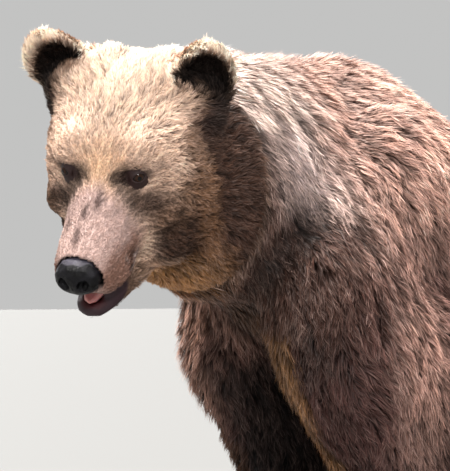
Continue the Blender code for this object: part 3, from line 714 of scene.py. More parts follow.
class MarkingsAndPaintedLight:
    """The colour of skin and coat at each vertex, painted light and shade included, and how bare the skin is
    there, painted in layers.
    """

    def __init__(self, surface, labels, head, normals, nose_gap):
        self.verts, self.head, self.normals, self.nose_gap = surface.verts, head, normals, nose_gap
        self.side = np.abs(head[:, 0])
        self.colour = surface.spread(by_label(labels, "colour"), 30)
        self.bare = np.zeros(surface.count)
        self.is_kind = {kind: of_kind(labels, kind) for kind in GROWTH}
        self.on = {kind: surface.spread(mask, 6) for kind, mask in self.is_kind.items()}
        self.face = self.on["head"] + self.on["jaw_lower"]
        self.ragged = 0.012 * noise(self.verts, 0.030) + 0.008 * noise(self.verts, 0.011, 4.0)

    def paint(self, over, share):
        self.colour = mixed(self.colour, over, share)

    def paint_spots(self, spots):
        for over, middle, radii, share in spots:
            self.paint(over, spot(self.verts, middle, radii) * share)

    def shave(self, share):
        """Makes the skin at least this bare."""
        self.bare = np.maximum(self.bare, share)

    def body(self):
        """Pale along the top and reddish on the hump, with a pale patch on the neck's side and dark legs.
        Painted light on the upward faces, the near upper arm, the forelegs' sides and, as sheen, the neck's
        patch; painted shade under the body, between chest and foreleg, on the inner legs, in the folds and a
        little on the upward faces.
        """
        x, y, z = self.verts.T
        on, paint, ragged = self.on, self.paint, self.ragged
        facing_up = self.normals[:, 2]
        rear = ramp(y, -0.08, 0.30)
        paint(REAR, rear * on["trunk"] * 0.75)
        paint(HUMP_AND_PAINTED_LIGHT, ramp(z + ragged * 3, 0.78, 1.00) * on["trunk"] * (0.55 - 0.35 * rear))
        # A pale patch on the neck's side: partly its pale hair tips, partly painted sheen
        for s, share in ((1, 0.95), (-1, 0.6)):
            paint(NECK_SIDE_AND_PAINTED_SHEEN, along_path(on_side(self.verts, s), NECK_PATCH, NECK_PATCH_REACH) * share)
        self.paint_spots(SIDE_SPOTS)
        # Upward faces are painted paler: on the neck this is partly the pale nape, partly painted light from
        # above
        top = ramp(facing_up, 0.10, 0.60)
        high = np.maximum(top * ramp(z, 0.79, 0.89), ramp(z + ragged * 2, 0.925, 0.985))
        paint(NAPE_AND_PAINTED_LIGHT, high * on["neck"] * 0.95)
        fore = on["trunk"] + on["upper_arm"] + on["neck"] * 0.6
        shoulder = ramp(z + ragged * 3, 0.67, 0.90) * ramp(y, 0.20, -0.08) * fore
        paint(HUMP_AND_PAINTED_LIGHT, np.clip(shoulder, 0, 1) * ramp(y, -0.44, -0.33) * 0.85)
        # Painted light: the trunk's upward faces are paler
        paint(HUMP_AND_PAINTED_LIGHT, top * on["trunk"] * (0.65 - 0.40 * rear))
        self.paint_spots(CHEST_SPOTS)
        # Painted light: the front of the trunk is a little paler again where it faces up
        paint(NAPE_AND_PAINTED_LIGHT, ramp(facing_up, 0.45, 0.90) * on["trunk"] * 0.20 * (1 - rear))
        # Faces that look down and the low trunk are darker: partly the dark belly, partly painted shade under
        # the body
        paint(BELLY_AND_PAINTED_SHADE, ramp(facing_up, -0.1, -0.7) * on["trunk"] * 0.85)
        paint(BELLY_AND_PAINTED_SHADE, ramp(z, 0.62, 0.45) * (on["trunk"] + on["thigh"] * 0.5) * 0.7)
        legs = on["upper_arm"] + on["forearm"]
        # Painted shade on the legs' inner sides, where they face the body low down, over their darker inner fur
        inward = ramp(-self.normals[:, 0] * np.sign(x), -0.10, 0.40) * ramp(z, 0.66, 0.54)
        paint(INNER_LEG_AND_PAINTED_SHADE, inward * np.minimum(1, legs + on["shank"] + on["thigh"]) * 0.85)
        # Gold on the forelegs' sides that face this way, mostly on the near leg: partly the fur's gold, partly
        # painted light
        lit = ramp(self.normals @ LEG_FRONT_FACES, 0.66, 0.86) * legs * ramp(z, 0.30, 0.42)
        paint(LEG_GOLD_AND_PAINTED_LIGHT, lit * np.where(x > 0, 0.85, 0.15))
        self.paint_spots(UNDER_CHEST_SPOTS)
        # Painted shade in the folds of the skin
        self.colour *= 1 - 0.78 * folds(self.verts)[:, None]
        # Painted shade on the upward faces of neck and trunk, tempering the light from above; partly a browner
        # stripe along the spine
        self.colour *= 1 - 0.24 * (ramp(facing_up, 0.60, 0.95) * (on["neck"] + on["trunk"]))[:, None]

    def cranium(self):
        """Gold and pale above, dark low on the cheeks and behind them, and gold on the throat."""
        _, ahead, up = self.head.T
        face, side, paint, ragged = self.face, self.side, self.paint, self.ragged
        paint(CROWN, face * ramp(up, 0.105, 0.175) * (0.85 - 0.45 * ramp(side, 0.045, 0.100)))
        paint(BROW, spot(self.head, (0.0, 0.215, 0.115), (0.055, 0.070, 0.060)) * 0.8)
        paint(CHEEK, face * ramp(up + ragged, 0.108, 0.040) * ramp(side, 0.055, 0.085) * 0.85)
        low_cheek = ramp(up + ragged, 0.034, -0.022) * ramp(side, 0.045, 0.070) * ramp(ahead, 0.06, 0.11)
        paint(DARK_CHEEK, face * low_cheek * ramp(ahead, 0.225, 0.195) * 0.9)
        paint(CHEEK, face * ramp(side, 0.098, 0.118) * ramp(ahead, 0.165, 0.135) * 0.8)
        behind = ramp(ahead + ragged, 0.122, 0.094) * ramp(side, 0.080, 0.108) * ramp(up, 0.160, 0.125)
        paint(BEHIND_EAR, (face + self.on["neck"] * 0.5) * behind * 0.92)
        for s in SIDES.values():
            paint(BEHIND_EAR, spot(self.head, (s * 0.130, 0.076, 0.134), (0.032, 0.036, 0.042)))
            deep = spot(self.head, (s * 0.137, 0.068, 0.120), (0.042, 0.052, 0.046))
            paint(BEHIND_EAR * 0.4, np.minimum(1, 1.5 * deep))
        throat = spot(self.head, (0.0, 0.115, -0.150), (0.165, 0.130, 0.110))
        gold = np.minimum(1, throat * 2.0) * ramp(up + ragged * 1.5, -0.040, -0.095)
        paint(THROAT, gold * (1 - self.on["ear"]))

    def muzzle(self):
        """Pale, with smudges along its bridge, a dark patch of whiskers and dark skin round the eyes."""
        _, ahead, up = self.head.T
        on_muzzle = ramp(ahead + self.ragged * 0.6, 0.218, 0.248)
        flank = ramp(up + self.ragged, 0.045, 0.012) * ramp(self.side, 0.02, 0.04)
        self.paint(MUZZLE, self.face * on_muzzle)
        self.paint(MUZZLE_SIDE, self.face * on_muzzle * flank)
        self.paint(CHIN, self.is_kind["jaw_lower"] * ramp(ahead, 0.16, 0.20) * 0.9)
        broken = 0.35 + 0.65 * ramp(noise(self.verts, 0.009, 7.0), -0.60, 0.0)
        for place in SMUDGES:
            self.paint(SMUDGE, spot(self.head, place, (0.012, 0.030, 0.027)) * broken)
        patterns = {
            "even": 1.0,
            "blotches": ramp(noise(self.verts, 0.0075, 2.0), -0.35, 0.25),
            "grizzle": ramp(noise(self.verts, 0.0060, 12.0), 0.05, 0.45),
        }
        for s, (over, line, reach, widened, pattern, share) in itertools.product(SIDES.values(), FACE_STROKES):
            stroke = np.minimum(1, along_path(self.head, on_side(line, s), reach) * widened)
            self.paint(over, stroke * patterns[pattern] * share)

    def mouth_and_nose(self):
        """Bare lips, the inside of the mouth, the eyes' surrounds and the skin beside and behind the nose."""
        _, ahead, up = self.head.T
        upper, lower_jaw = self.is_kind["head"], self.is_kind["jaw_lower"]
        facing_up = self.normals @ UP
        inside = ahead > INSIDE_MOUTH_AHEAD
        lip_bottom = LIP_LINE - LIP_DEPTH - LIP_FRONT_DEPTH * ramp(ahead, 0.255, 0.290)
        lower = lower_jaw * ramp(ahead, MOUTH_CORNER_AHEAD - 0.008, MOUTH_CORNER_AHEAD + 0.006)
        lower *= ramp(up, lip_bottom - 0.004, lip_bottom + 0.002)
        floor = lower_jaw * ramp(facing_up, 0.55, 0.85) * (up > LIP_LINE - 0.012) * inside
        palate = upper * ramp(facing_up, -0.80, -0.93) * inside * (up < 0.005)
        lip_edge = upper * inside * ramp(facing_up, -0.50, -0.80) * ramp(up, 0.0, -0.012)
        self.paint(DARK_CHEEK, lower_jaw * ramp(ahead, 0.22, 0.26) * 0.6)
        self.paint(LIP, np.minimum(1, lower + lip_edge))
        self.paint(MOUTH, floor * ramp(self.side, 0.028, 0.020))
        self.paint(MOUTH * 0.5, palate * 0.8)
        for share in (lower, lip_edge, floor, palate):
            self.shave(share)
        for s in SIDES.values():
            self.shave(ramp(spot(self.head, on_side(EYE_IN_HEAD, s), EYE_BARE), 0.0, 0.1))
        self.shave(ramp(self.nose_gap, 0.0022, 0.0012))
        self.paint(NOSE_EDGE, ramp(self.nose_gap, 0.0060, 0.0020) * 0.85)
        self.shave(behind_nose(self.head))
        self.paint(NOSTRIL, behind_nose(self.head))

    def ears_and_feet(self):
        """Dark hollows in the ears with pale rims, and bare soles."""
        hollow, rim = np.zeros(len(self.verts)), np.zeros(len(self.verts))
        for which in SIDES:
            middle, axes = ear_axes(which)
            y, z, out = in_ear(which, self.verts)
            facing = ramp(self.normals @ axes[1], -0.05, 0.30)
            hollow = np.maximum(hollow, facing * ramp(out, 0.94, 0.74) * (np.abs(y) < 0.05))
            edge = ramp(out, 0.82, 0.98) * self.is_kind["ear"]
            near = np.linalg.norm(self.verts - middle, axis=1) < 0.09
            rim = np.where(near, edge * ramp(z, -0.060, -0.020) * ramp(y, -0.034, -0.014), rim)
        self.paint(EAR_INSIDE, hollow * self.on["ear"])
        self.paint(EAR_RIM, np.clip(rim, 0, 1) * 0.95)
        sole = ramp(self.verts[:, 2], 0.012, 0.003) * ramp(self.normals[:, 2], -0.5, -0.9)
        self.paint(SOLE, sole)
        self.shave(sole)

    def all(self):
        """The finished colour and bareness."""
        self.body()
        self.cranium()
        self.muzzle()
        self.mouth_and_nose()
        self.ears_and_feet()
        shade = 1 + 0.14 * noise(self.verts, 0.16) + 0.10 * noise(self.verts, 0.05, 5.0)
        return self.colour * shade[:, None], np.clip(self.bare, 0, 1)


# ---- the lie of the coat ----


def lay_flat(vectors, normals):
    return unit(vectors - normals * np.sum(vectors * normals, axis=1)[:, None])


def lie_of_coat(surface, labels, head, normals):
    """The way that the hairs point, along the surface, at each vertex."""
    across, ahead, up = head.T
    outward = np.clip(across / 0.05, -1, 1)
    brow = spot(head, (0.0, 0.165, 0.125), (0.13, 0.075, 0.075))
    cheek = ramp(np.abs(across), 0.050, 0.100) * (1 - brow)
    left = outward * (0.18 + 0.55 * brow + 0.15 * cheek)
    rise = 0.35 * brow - 0.55 * cheek - 0.25 * ramp(up, 0.02, -0.06)
    on_head = np.stack([left, -np.ones(surface.count), rise], axis=1) @ HEAD_AXES
    lie = np.zeros((surface.count, 3))
    for index, name in enumerate(FLESH):
        chosen = labels == index
        kind = kind_of(name)
        if kind in ("head", "jaw_lower"):
            lie[chosen] = on_head[chosen]
        elif kind == "ear":
            middle, axes = ear_axes(name.replace("ear_", ""))
            root = middle - axes[2] * 0.070 - axes[1] * 0.010
            lie[chosen] = unit(surface.verts[chosen] - root) + axes[1] * 0.10
        else:
            lie[chosen] = GROWTH[kind].lie
    lie = lay_flat(surface.spread(unit(lie), 10), normals)
    for _ in range(12):
        lie = lay_flat(surface.spread(lie, 1), normals)
    calm = surface.spread(of_kind(labels, "head", "jaw_lower"), 8)
    broad = 0.45 * noise(surface.verts, 0.085) + 0.35 * noise(surface.verts, 0.034, 9.0)
    fine = 0.60 * noise(surface.verts, 0.020, 3.0) * ramp(ahead, 0.245, 0.20)  # the head's own swirls
    swing = (broad * (1 - calm) + (fine + 0.3 * broad) * calm)[:, None]
    return unit(lie * np.cos(swing) + np.cross(normals, lie) * np.sin(swing))


# ---- the coat ----

LOCKS_PER_TUFT = 7
LOWEST_HAIR = 0.0008  # above the floor
PATCH = 0.003  # the size of each tuft's patch on the map
PALE_TIP = linear(0.85, 0.735, 0.685)
# Along a lock: the share of its length, how high it rises, how far its tuft has drawn together, how broad it is
# and how bright, darkest at the root as painted shade deep in the coat
LOCK = [(0.0, -0.15, 0.0, 0.0, 0.10), (0.46, 0.66, 0.34, 1.0, 0.66), (1.0, 0.98, 0.80, 0.0, 1.55)]
CLUMP_SIZES = (0.0044, 0.0062, 0.0088, 0.0126, 0.018)  # each about 1.43 times the one before
CLUMP_STEP = math.log(1.43)
COAT_PIECES = {  # how many locks each has
    "coat_face": 92_000,
    "coat_crown": 84_000,
    "coat_ears": 34_000,
    "coat_neck": 92_000,
    "coat_shoulder_left": 96_000,
    "coat_shoulder_right": 76_000,
    "coat_barrel": 78_000,
    "coat_rump": 80_000,
    "coat_forelegs": 68_000,
    "coat_hindlegs": 48_000,
}
FACE_END = 0.135  # how far ahead in the head's frame the face's coat gives way to the crown's
SHOULDER_END = 0.08  # where the shoulders' coat gives way to the barrel's, and the barrel's to the rump's
BARREL_END = 0.46


def piece_of(surface, labels, head):
    """Which coat piece each vertex belongs to, as an index in COAT_PIECES."""
    x, y, _ = surface.verts.T
    index = {name: number for number, name in enumerate(COAT_PIECES)}
    shoulder = np.where(x > 0, index["coat_shoulder_left"], index["coat_shoulder_right"])
    behind = np.where(y > BARREL_END, index["coat_rump"], index["coat_barrel"])
    face = np.where(head[:, 1] > FACE_END, index["coat_face"], index["coat_crown"])
    pieces = {"head": face, "jaw_lower": face, "upper_arm": shoulder}
    pieces["trunk"] = np.where(y > SHOULDER_END, behind, shoulder)
    piece = np.zeros(surface.count, int)
    for number, name in enumerate(FLESH):
        kind, chosen = kind_of(name), labels == number
        piece[chosen] = pieces[kind][chosen] if kind in pieces else index[GROWTH[kind].piece]
    return piece


def ridges(place, lie, side, size):
    """The coat's parting into clumps: how high on a clump each place is, and the slope across the lie."""
    step = size * 0.25

    def streaked(points):
        return sum(noise(points + lie * size * along, size) for along in (-1.6, -0.8, 0.0, 0.8, 1.6)) / 2.2

    slope = (streaked(place + side * step) - streaked(place - side * step)) / (2 * step)
    return streaked(place), slope


def tufts(name, locks, tris, uv, fields, chance):
    """One coat piece. Tufts of locks are set over the given triangles, thickest where the locks are small."""
    corners = fields["place"][tris]
    area = np.linalg.norm(np.cross(corners[:, 1] - corners[:, 0], corners[:, 2] - corners[:, 0]), axis=1) / 2
    fine = fields["thick"] / (fields["length"] * fields["width"])
    wanted = area * fine[tris].mean(1) * (1 - fields["bare"][tris].max(1))
    count = locks // LOCKS_PER_TUFT
    steps = np.cumsum(wanted)
    picks = (np.arange(count) + chance.random(count)) / count * steps[-1]
    chosen = np.minimum(np.searchsorted(steps, picks), len(tris) - 1)
    a, b = chance.random((2, count))
    over = a + b > 1
    a, b = np.where(over, 1 - a, a), np.where(over, 1 - b, b)
    weights = np.stack([1 - a - b, a, b], axis=1)

    def here(corner_values):
        return np.einsum("nk,nk...->n...", weights, corner_values[chosen])

    at = {key: here(values[tris]) for key, values in fields.items()}
    place, depth, length, contrast, uv = at["place"], at["depth"], at["length"], at["contrast"], here(uv)
    normal = unit(at["normal"])
    lie = lay_flat(at["lie"], normal)
    side = np.cross(normal, lie)
    spacing = np.sqrt(steps[-1] / wanted[chosen] * area[chosen] / count)

    # The coat parts into clumps a little narrower than its hairs are long
    clump = np.clip(length * 0.38, 0.0045, 0.018)
    high, slope = np.zeros(count), np.zeros(count)
    for size in CLUMP_SIZES:
        near = np.clip(1 - np.abs(np.log(clump / size)) / CLUMP_STEP, 0, 1)
        if near.any():
            more_high, more_slope = ridges(place, lie, side, size)
            high, slope = high + near * more_high, slope + near * more_slope * size
    high = np.clip(high, -1, 1)
    pull = np.clip(slope, -0.8, 0.8) * clump * 0.75

    # Each tuft has its own length, sideways sweep and tone; the tone also holds painted light on the clumps'
    # ridges and painted shade between them
    length = length * (0.84 + 0.32 * chance.random(count))
    sweep = length * 0.15 * chance.standard_normal(count) + pull
    curl = length * 0.08 * chance.standard_normal(count)
    tone = 1 + (0.14 * chance.standard_normal(count) + 0.62 * high) * contrast

    # Its locks start around its middle and draw together at their tips
    def each(values):
        return np.repeat(values, LOCKS_PER_TUFT, axis=0)

    total = count * LOCKS_PER_TUFT
    turn = chance.random(total) * math.tau
    reach = each(spacing) * 0.75 * np.sqrt(chance.random(total))
    off = each(side) * (reach * np.cos(turn))[:, None] + each(lie) * (reach * np.sin(turn) * 1.5)[:, None]
    long = each(length) * (0.80 + 0.40 * chance.random(total))
    lift = each(depth * (0.95 + 0.28 * high)) * (0.68 + 0.46 * chance.random(total))
    wide = each(at["width"]) * (0.70 + 0.6 * chance.random(total))
    roll = chance.uniform(-0.75, 0.75, total)[:, None]
    blade = unit(each(side) + each(normal) * roll)
    stray = chance.standard_normal((total, 3)) * (each(length) * 0.05)[:, None]
    own = (each(tone) * (1 + each(contrast) * 0.26 * chance.standard_normal(total)))[:, None]
    tint = 1 + chance.standard_normal((total, 1)) * np.array([[0.015, 0.0, -0.03]])
    paleness = each(at["pale"]) * chance.random(total) ** 2 * 2.0

    # A lock is a slim blade of two triangles: its root, the two sides of its widest place, and its tip
    folded = bool(folds(place).max() > 0)
    layers, hues, spots = [], [], []
    for share, rise, together, breadth, level in LOCK:
        bent = each(sweep) * share**2 + each(curl) * math.sin(share * math.pi)
        middle = (
            each(place)
            + off * (1 - together)
            + each(lie) * (long * share)[:, None]
            + each(normal) * (lift * rise)[:, None]
            + each(side) * bent[:, None]
            + stray * share
        )
        # Each lock is darker towards its root: painted shade deep in the coat
        hue = each(at["colour"]) * own * tint * (1 + (level - 1) * each(contrast)[:, None])
        lit = np.ones(total)
        # Locks in a fold sink into it and are darkened with painted shade
        if share and folded:
            fold = folds(middle + each(normal) * (each(depth) - lift * rise)[:, None])
            lit = 1 - 0.70 * fold
            middle -= each(normal) * (lift * rise * fold * 0.55)[:, None]
            hue *= lit[:, None]
        hue = mixed(hue, PALE_TIP * own, np.clip(paleness * max(0.0, share - 0.3), 0, 1) * lit)
        for way in (-1, 1) if breadth else (0,):
            layers.append(middle + blade * (wide * breadth * way / 2)[:, None])
            hues.append(hue)
            spots.append(each(uv) + np.array([way * PATCH * 0.4, (share - 0.5) * PATCH]))
    verts = np.stack(layers, axis=1).reshape(-1, 3)
    hues = np.stack(hues, axis=1).reshape(-1, 3)
    spots = np.stack(spots, axis=1).reshape(-1, 2)
    faces = (np.array([(0, 1, 2), (1, 3, 2)])[None] + (np.arange(total) * 4)[:, None, None]).reshape(-1, 3)
    verts[:, 2] = np.maximum(verts[:, 2], LOWEST_HAIR)
    obj = mesh_object(name, verts, faces, COAT_MATERIAL)
    put_colours(obj.data, hues)
    put_map(obj.data, spots[faces.ravel()])
    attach(obj, BODY)


# ---- materials ----


def connect(made, node, inputs):
    """Gives a node's inputs values, or links them to other nodes' outputs."""
    for key, value in inputs.items():
        if isinstance(value, bpy.types.NodeSocket):
            made.node_tree.links.new(value, node.inputs[key])
        else:
            node.inputs[key].default_value = value


def material(name, inputs):
    """A Principled material and its shader, with values on the shader's own sockets."""
    made = bpy.data.materials.new(name)
    made.use_nodes = True
    shader = made.node_tree.nodes["Principled BSDF"]
    connect(made, shader, inputs)
    return made, shader


def add(made, kind, output, inputs, **settings):
    """The named output of a new node."""
    node = made.node_tree.nodes.new("ShaderNode" + kind)
    for key, value in settings.items():
        setattr(node, key, value)
    connect(made, node, inputs)
    return node.outputs[output]


def attribute(made, name, output):
    return add(made, "Attribute", output, {}, attribute_name=name)


def grain(made, place, scale, detail, **more):
    return add(made, "TexNoise", "Fac", {"Vector": place, "Scale": scale, "Detail": detail, **more})


def ranged(made, value, low, high, to_low=0.0, to_high=1.0):
    """A value's range from low to high, mapped to another one."""
    limits = {"From Min": low, "From Max": high, "To Min": to_low, "To Max": to_high}
    return add(made, "MapRange", "Result", {"Value": value, **limits})


def blend(made, data_type, share, under, over):
    return add(made, "Mix", "Result", {"Factor": share, "A": under, "B": over}, data_type=data_type)


def scaled(made, colour, scale):
    return add(made, "VectorMath", "Vector", {0: colour, "Scale": scale}, operation="SCALE")


def shades(made, value, *stops):
    """A colour that follows a value from 0 to 1 by stops, each a place and a colour."""
    output = add(made, "ValToRGB", "Color", {"Fac": value})
    elements = output.node.color_ramp.elements
    for number, (position, colour) in enumerate(stops):
        element = elements[number] if number < 2 else elements.new(position)
        element.position = position
        element.color = (*colour, 1)
    return output


def bump(made, height, strength, distance):
    return add(made, "Bump", "Normal", {"Height": height, "Strength": strength, "Distance": distance})


def coat_material():
    made, shader = material("coat", {"Roughness": 0.52, "Specular IOR Level": 0.14})
    connect(made, shader, {"Base Color": attribute(made, "markings_and_painted_light", "Color")})
    return made


def skin_material():
    """Bare dark skin at lids, lips and soles, and short flat fur elsewhere, drawn as streaks along its lie."""
    made, shader = material("skin", {"Roughness": 0.6, "Specular IOR Level": 0.3})
    colour, bare = attribute(made, "markings_and_painted_light", "Color"), attribute(made, "bare", "Fac")
    streaks = grain(made, attribute(made, "lay", "Vector"), 1.0, 3.0, Roughness=0.6)
    pores = grain(made, add(made, "NewGeometry", "Position", {}), 900.0, 3.0)
    furred = scaled(made, colour, ranged(made, streaks, 0.30, 0.68, 0.62, 1.15))
    relief = blend(made, "FLOAT", bare, streaks, pores)
    connect(made, shader, {
        "Base Color": blend(made, "RGBA", bare, furred, colour),
        "Roughness": ranged(made, bare, 0.0, 1.0, 0.72, 0.52),
        "Normal": bump(made, relief, 0.55, 0.0012),
    })
    return made


def nose_material():
    """Moist dark leather, pebbled in small cells, with a painted bluish highlight on its upward-facing top."""
    made, shader = material("nose_leather", {"Roughness": 0.36, "Specular IOR Level": 0.18})
    place = add(made, "NewGeometry", "Position", {})
    cells = add(
        made, "TexVoronoi", "Distance", {"Vector": place, "Scale": 620.0}, feature="DISTANCE_TO_EDGE"
    )
    broad = grain(made, place, 60.0, 4.0)
    leather = shades(made, broad, (0.35, linear(0.038, 0.030, 0.034)), (0.70, linear(0.085, 0.078, 0.098)))
    rise = add(made, "SeparateXYZ", "Z", {"Vector": add(made, "NewGeometry", "Normal", {})})
    # Painted highlight: the pad's upward faces turn a paler bluish grey
    painted_top_highlight = (*linear(0.30, 0.285, 0.325), 1)
    connect(made, shader, {
        "Base Color": blend(made, "RGBA", ranged(made, rise, 0.35, 0.95), leather, painted_top_highlight),
        "Roughness": ranged(made, broad, 0.3, 0.7, 0.30, 0.48),
        "Normal": bump(made, ranged(made, cells, 0.0, 0.22), 0.5, 0.0006),
    })
    return made


def tongue_material():
    """Moist flesh with a fine grain."""
    made, shader = material(
        "tongue_flesh", {"Roughness": 0.34, "Specular IOR Level": 0.5, "Subsurface Weight": 0.15}
    )
    place = add(made, "NewGeometry", "Position", {})
    broad = grain(made, place, 50.0, 2.0)
    connect(made, shader, {
        "Base Color": shades(made, broad, (0.30, linear(0.60, 0.34, 0.34)), (0.72, linear(0.80, 0.54, 0.52))),
        "Normal": bump(made, grain(made, place, 420.0, 4.0), 0.4, 0.0008),
    })
    return made


def horn_material():
    """Brown horn, streaked along the claws."""
    made, shader = material("horn", {"Roughness": 0.4, "Specular IOR Level": 0.5})
    place = add(made, "NewGeometry", "Position", {})
    stretched = add(made, "Mapping", "Vector", {"Vector": place, "Scale": (420.0, 40.0, 160.0)})
    streaks = grain(made, stretched, 1.0, 4.0)
    connect(made, shader, {
        "Base Color": shades(made, streaks, (0.32, linear(0.16, 0.12, 0.09)), (0.74, linear(0.42, 0.34, 0.26))),
        "Normal": bump(made, streaks, 0.3, 0.0004),
    })
    return made


PUPIL, IRIS = 0.0031, 0.0078  # radii


def eye_material():
    """Pupil, brown iris with fibres, a dark ring round it and a dark white, about the object's Z."""
    made, shader = material(
        "eye_gloss", {"Roughness": 0.12, "Specular IOR Level": 0.06, "Coat Weight": 0.3, "Coat Roughness": 0.03}
    )
    place = add(made, "TexCoord", "Object", {})
    parts = add(made, "SeparateXYZ", "X", {"Vector": place}).node.outputs
    flat = add(made, "CombineXYZ", "Vector", {"X": parts["X"], "Y": parts["Y"]})
    reach = add(made, "VectorMath", "Value", {0: flat}, operation="LENGTH")
    pupil, iris = PUPIL / EYE_RADIUS, IRIS / EYE_RADIUS
    rings = shades(
        made,
        ranged(made, reach, 0.0, EYE_RADIUS),
        (0.0, linear(0.01, 0.01, 0.01)),
        (pupil, linear(0.02, 0.015, 0.012)),
        (pupil + 0.04, linear(0.20, 0.12, 0.075)),
        (iris - 0.08, linear(0.135, 0.085, 0.06)),
        (iris, linear(0.05, 0.035, 0.03)),
        (iris + 0.12, linear(0.16, 0.12, 0.11)),
    )
    fibres = ranged(made, grain(made, place, 900.0, 3.0), 0.3, 0.7, 0.7, 1.3)
    connect(made, shader, {"Base Color": scaled(made, rings, fibres)})
    return made


COAT_MATERIAL = coat_material()
SKIN_MATERIAL = skin_material()


# ---- the pieces ----


def unwrapped(obj):
    """Unwraps an object onto the baking map, and returns each triangle's three places on it."""
    bpy.ops.object.select_all(action="DESELECT")
    bpy.context.view_layer.objects.active = obj
    obj.select_set(True)
    bpy.ops.object.mode_set(mode="EDIT")
    bpy.ops.mesh.select_all(action="SELECT")
    bpy.ops.uv.smart_project(angle_limit=math.radians(66), island_margin=0.001)
    bpy.ops.object.mode_set(mode="OBJECT")
    obj.select_set(False)
    layer = obj.data.uv_layers.active
    layer.name = UV_NAME
    obj.data.calc_loop_triangles()
    return read(layer.data, "uv", 2)[read(obj.data.loop_triangles, "loops", 3, np.int32)]


STREAKS = np.array([900.0, 130.0, 900.0])  # the skin's streaks to a metre, along the head's axes


def body_skin():
    """The one skin, and the fields that the coat grows by."""
    obj = fused_flesh()
    obj.data.validate()
    surface = Surface(obj.data)
    labels = nearest_nodes(surface.verts)
    head = in_head(surface.verts)
    nose_gap = gap_to("nose_pad", surface.verts)
    depth, length, width = coat_fields(surface, labels, head, nose_gap)
    colour, bare = MarkingsAndPaintedLight(surface, labels, head, surface.normals(), nose_gap).all()
    extra = fullness(surface.verts)
    draw_in(surface, narrowed(surface, head, depth))
    sculpt_face(surface, head, nose_gap)
    slim_ear(surface, labels)
    face_tree = BVHTree.FromPolygons(surface.verts.tolist(), surface.tris.tolist())
    bowls(surface)
    put_places(obj.data, surface.verts)
    finished(obj, SKIN_MATERIAL)
    # Painted shade: the skin is darker where the coat covers it, so the gaps between tufts look shaded
    furred = ramp(depth, 0.0015, 0.0080)[:, None] * (1 - bare[:, None])
    put_colours(obj.data, colour * (1 - 0.55 * furred))
    put_skin_values(obj.data, bare, head * STREAKS)
    normals = surface.normals()
    pale = surface.spread(by_label(labels, "pale"), 20) * np.clip(colour.mean(1) / 0.12, 0.35, 1)
    low_neck = 1 - 0.7 * spot(surface.verts, (0.26, -0.42, 0.72), (0.12, 0.12, 0.16))
    _, ahead, up = head.T
    to_rump = ramp(surface.verts[:, 1], -0.05, 0.3)
    contrast = 1 - ramp(ahead, 0.0, 0.08) * (0.20 + 0.25 * ramp(up, 0.07, 0.13)) - 0.25 * to_rump
    contrast = np.maximum(contrast - 0.40 * ramp(ahead, 0.215, 0.255), 0.20)
    fields = {
        "place": surface.verts,
        "normal": normals,
        "lie": lie_of_coat(surface, labels, head, normals),
        "depth": depth + extra,
        "length": length,
        "width": width,
        "colour": colour,
        "bare": bare,
        "pale": pale * low_neck,
        "thick": 1 - 0.75 * ramp(ahead, 0.222, 0.255),
        "contrast": contrast - 0.25 * of_kind(labels, "ear"),
    }
    return obj, surface, fields, piece_of(surface, labels, head), face_tree


def lids_object(face_tree):
    """The four lids, bare and dark, in one object."""
    verts, faces = [], []
    for side in SIDES:
        more, quads = eyelids(side, face_tree)
        faces += [[len(verts) + i for i in quad] for quad in quads]
        verts += more.tolist()
    verts = np.array(verts)
    obj = mesh_object("lids", verts, np.array(faces), SKIN_MATERIAL)
    out = np.min([np.linalg.norm(verts - eye_centre(side), axis=1) for side in SIDES], axis=0)
    colour = mixed(np.tile(EYE_SKIN, (len(verts), 1)), DARK_CHEEK, ramp(out, 0.017, 0.026) * 0.7)
    put_colours(obj.data, colour)
    put_skin_values(obj.data, np.ones(len(verts)), in_head(verts) * STREAKS.max())
    return obj


def joined(target, others):
    bpy.ops.object.select_all(action="DESELECT")
    for obj in [target, *others]:
        obj.select_set(True)
    bpy.context.view_layer.objects.active = target
    bpy.ops.object.join()
    target.select_set(False)


CORNEA_REACH, CORNEA_RISE = IRIS * 1.1, 0.0012


def eyeball(side, finish):
    """An eyeball with the cornea's bulge, its Z along the eye's axis."""
    bm = bmesh.new()
    bmesh.ops.create_uvsphere(bm, u_segments=48, v_segments=32, radius=EYE_RADIUS)
    for vert in bm.verts:
        reach = math.hypot(vert.co.x, vert.co.y)
        if vert.co.z > 0 and reach < CORNEA_REACH:
            vert.co.z += CORNEA_RISE * (1 - (reach / CORNEA_REACH) ** 2)
    obj = from_bmesh("eyeball_" + side, bm)
    finished(obj, finish)
    gaze, outer, lift = eye_axes(side)
    axes = Matrix(np.array([outer * SIDES[side], lift, gaze]).T.tolist()).to_4x4()
    obj.matrix_world = Matrix.Translation(eye_centre(side)) @ axes
    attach(obj, BODY)
    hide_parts("eye_" + side)


NOSTRIL_PLACE = (0.0150, 0.352, 0.012)  # the left one's, in the head's frame


def nose(finish):
    """The nose pad, with its nostrils a little wider than the CAD's."""
    obj = remeshed(node_copy("nose", ["nose_pad"]), 0.0010, 4)
    verts = coordinates(obj.data)
    for s in SIDES.values():
        away = verts - from_head([on_side(NOSTRIL_PLACE, s)])[0]
        away -= FORWARD * (away @ FORWARD)[:, None]
        distance = np.linalg.norm(away, axis=1)
        verts += away / np.maximum(distance, 1e-6)[:, None] * (0.0032 * ramp(distance, 0.016, 0.004))[:, None]
    put_places(obj.data, verts)
    finished(obj, finish)
    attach(obj, BODY)
    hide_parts("nose_pad")


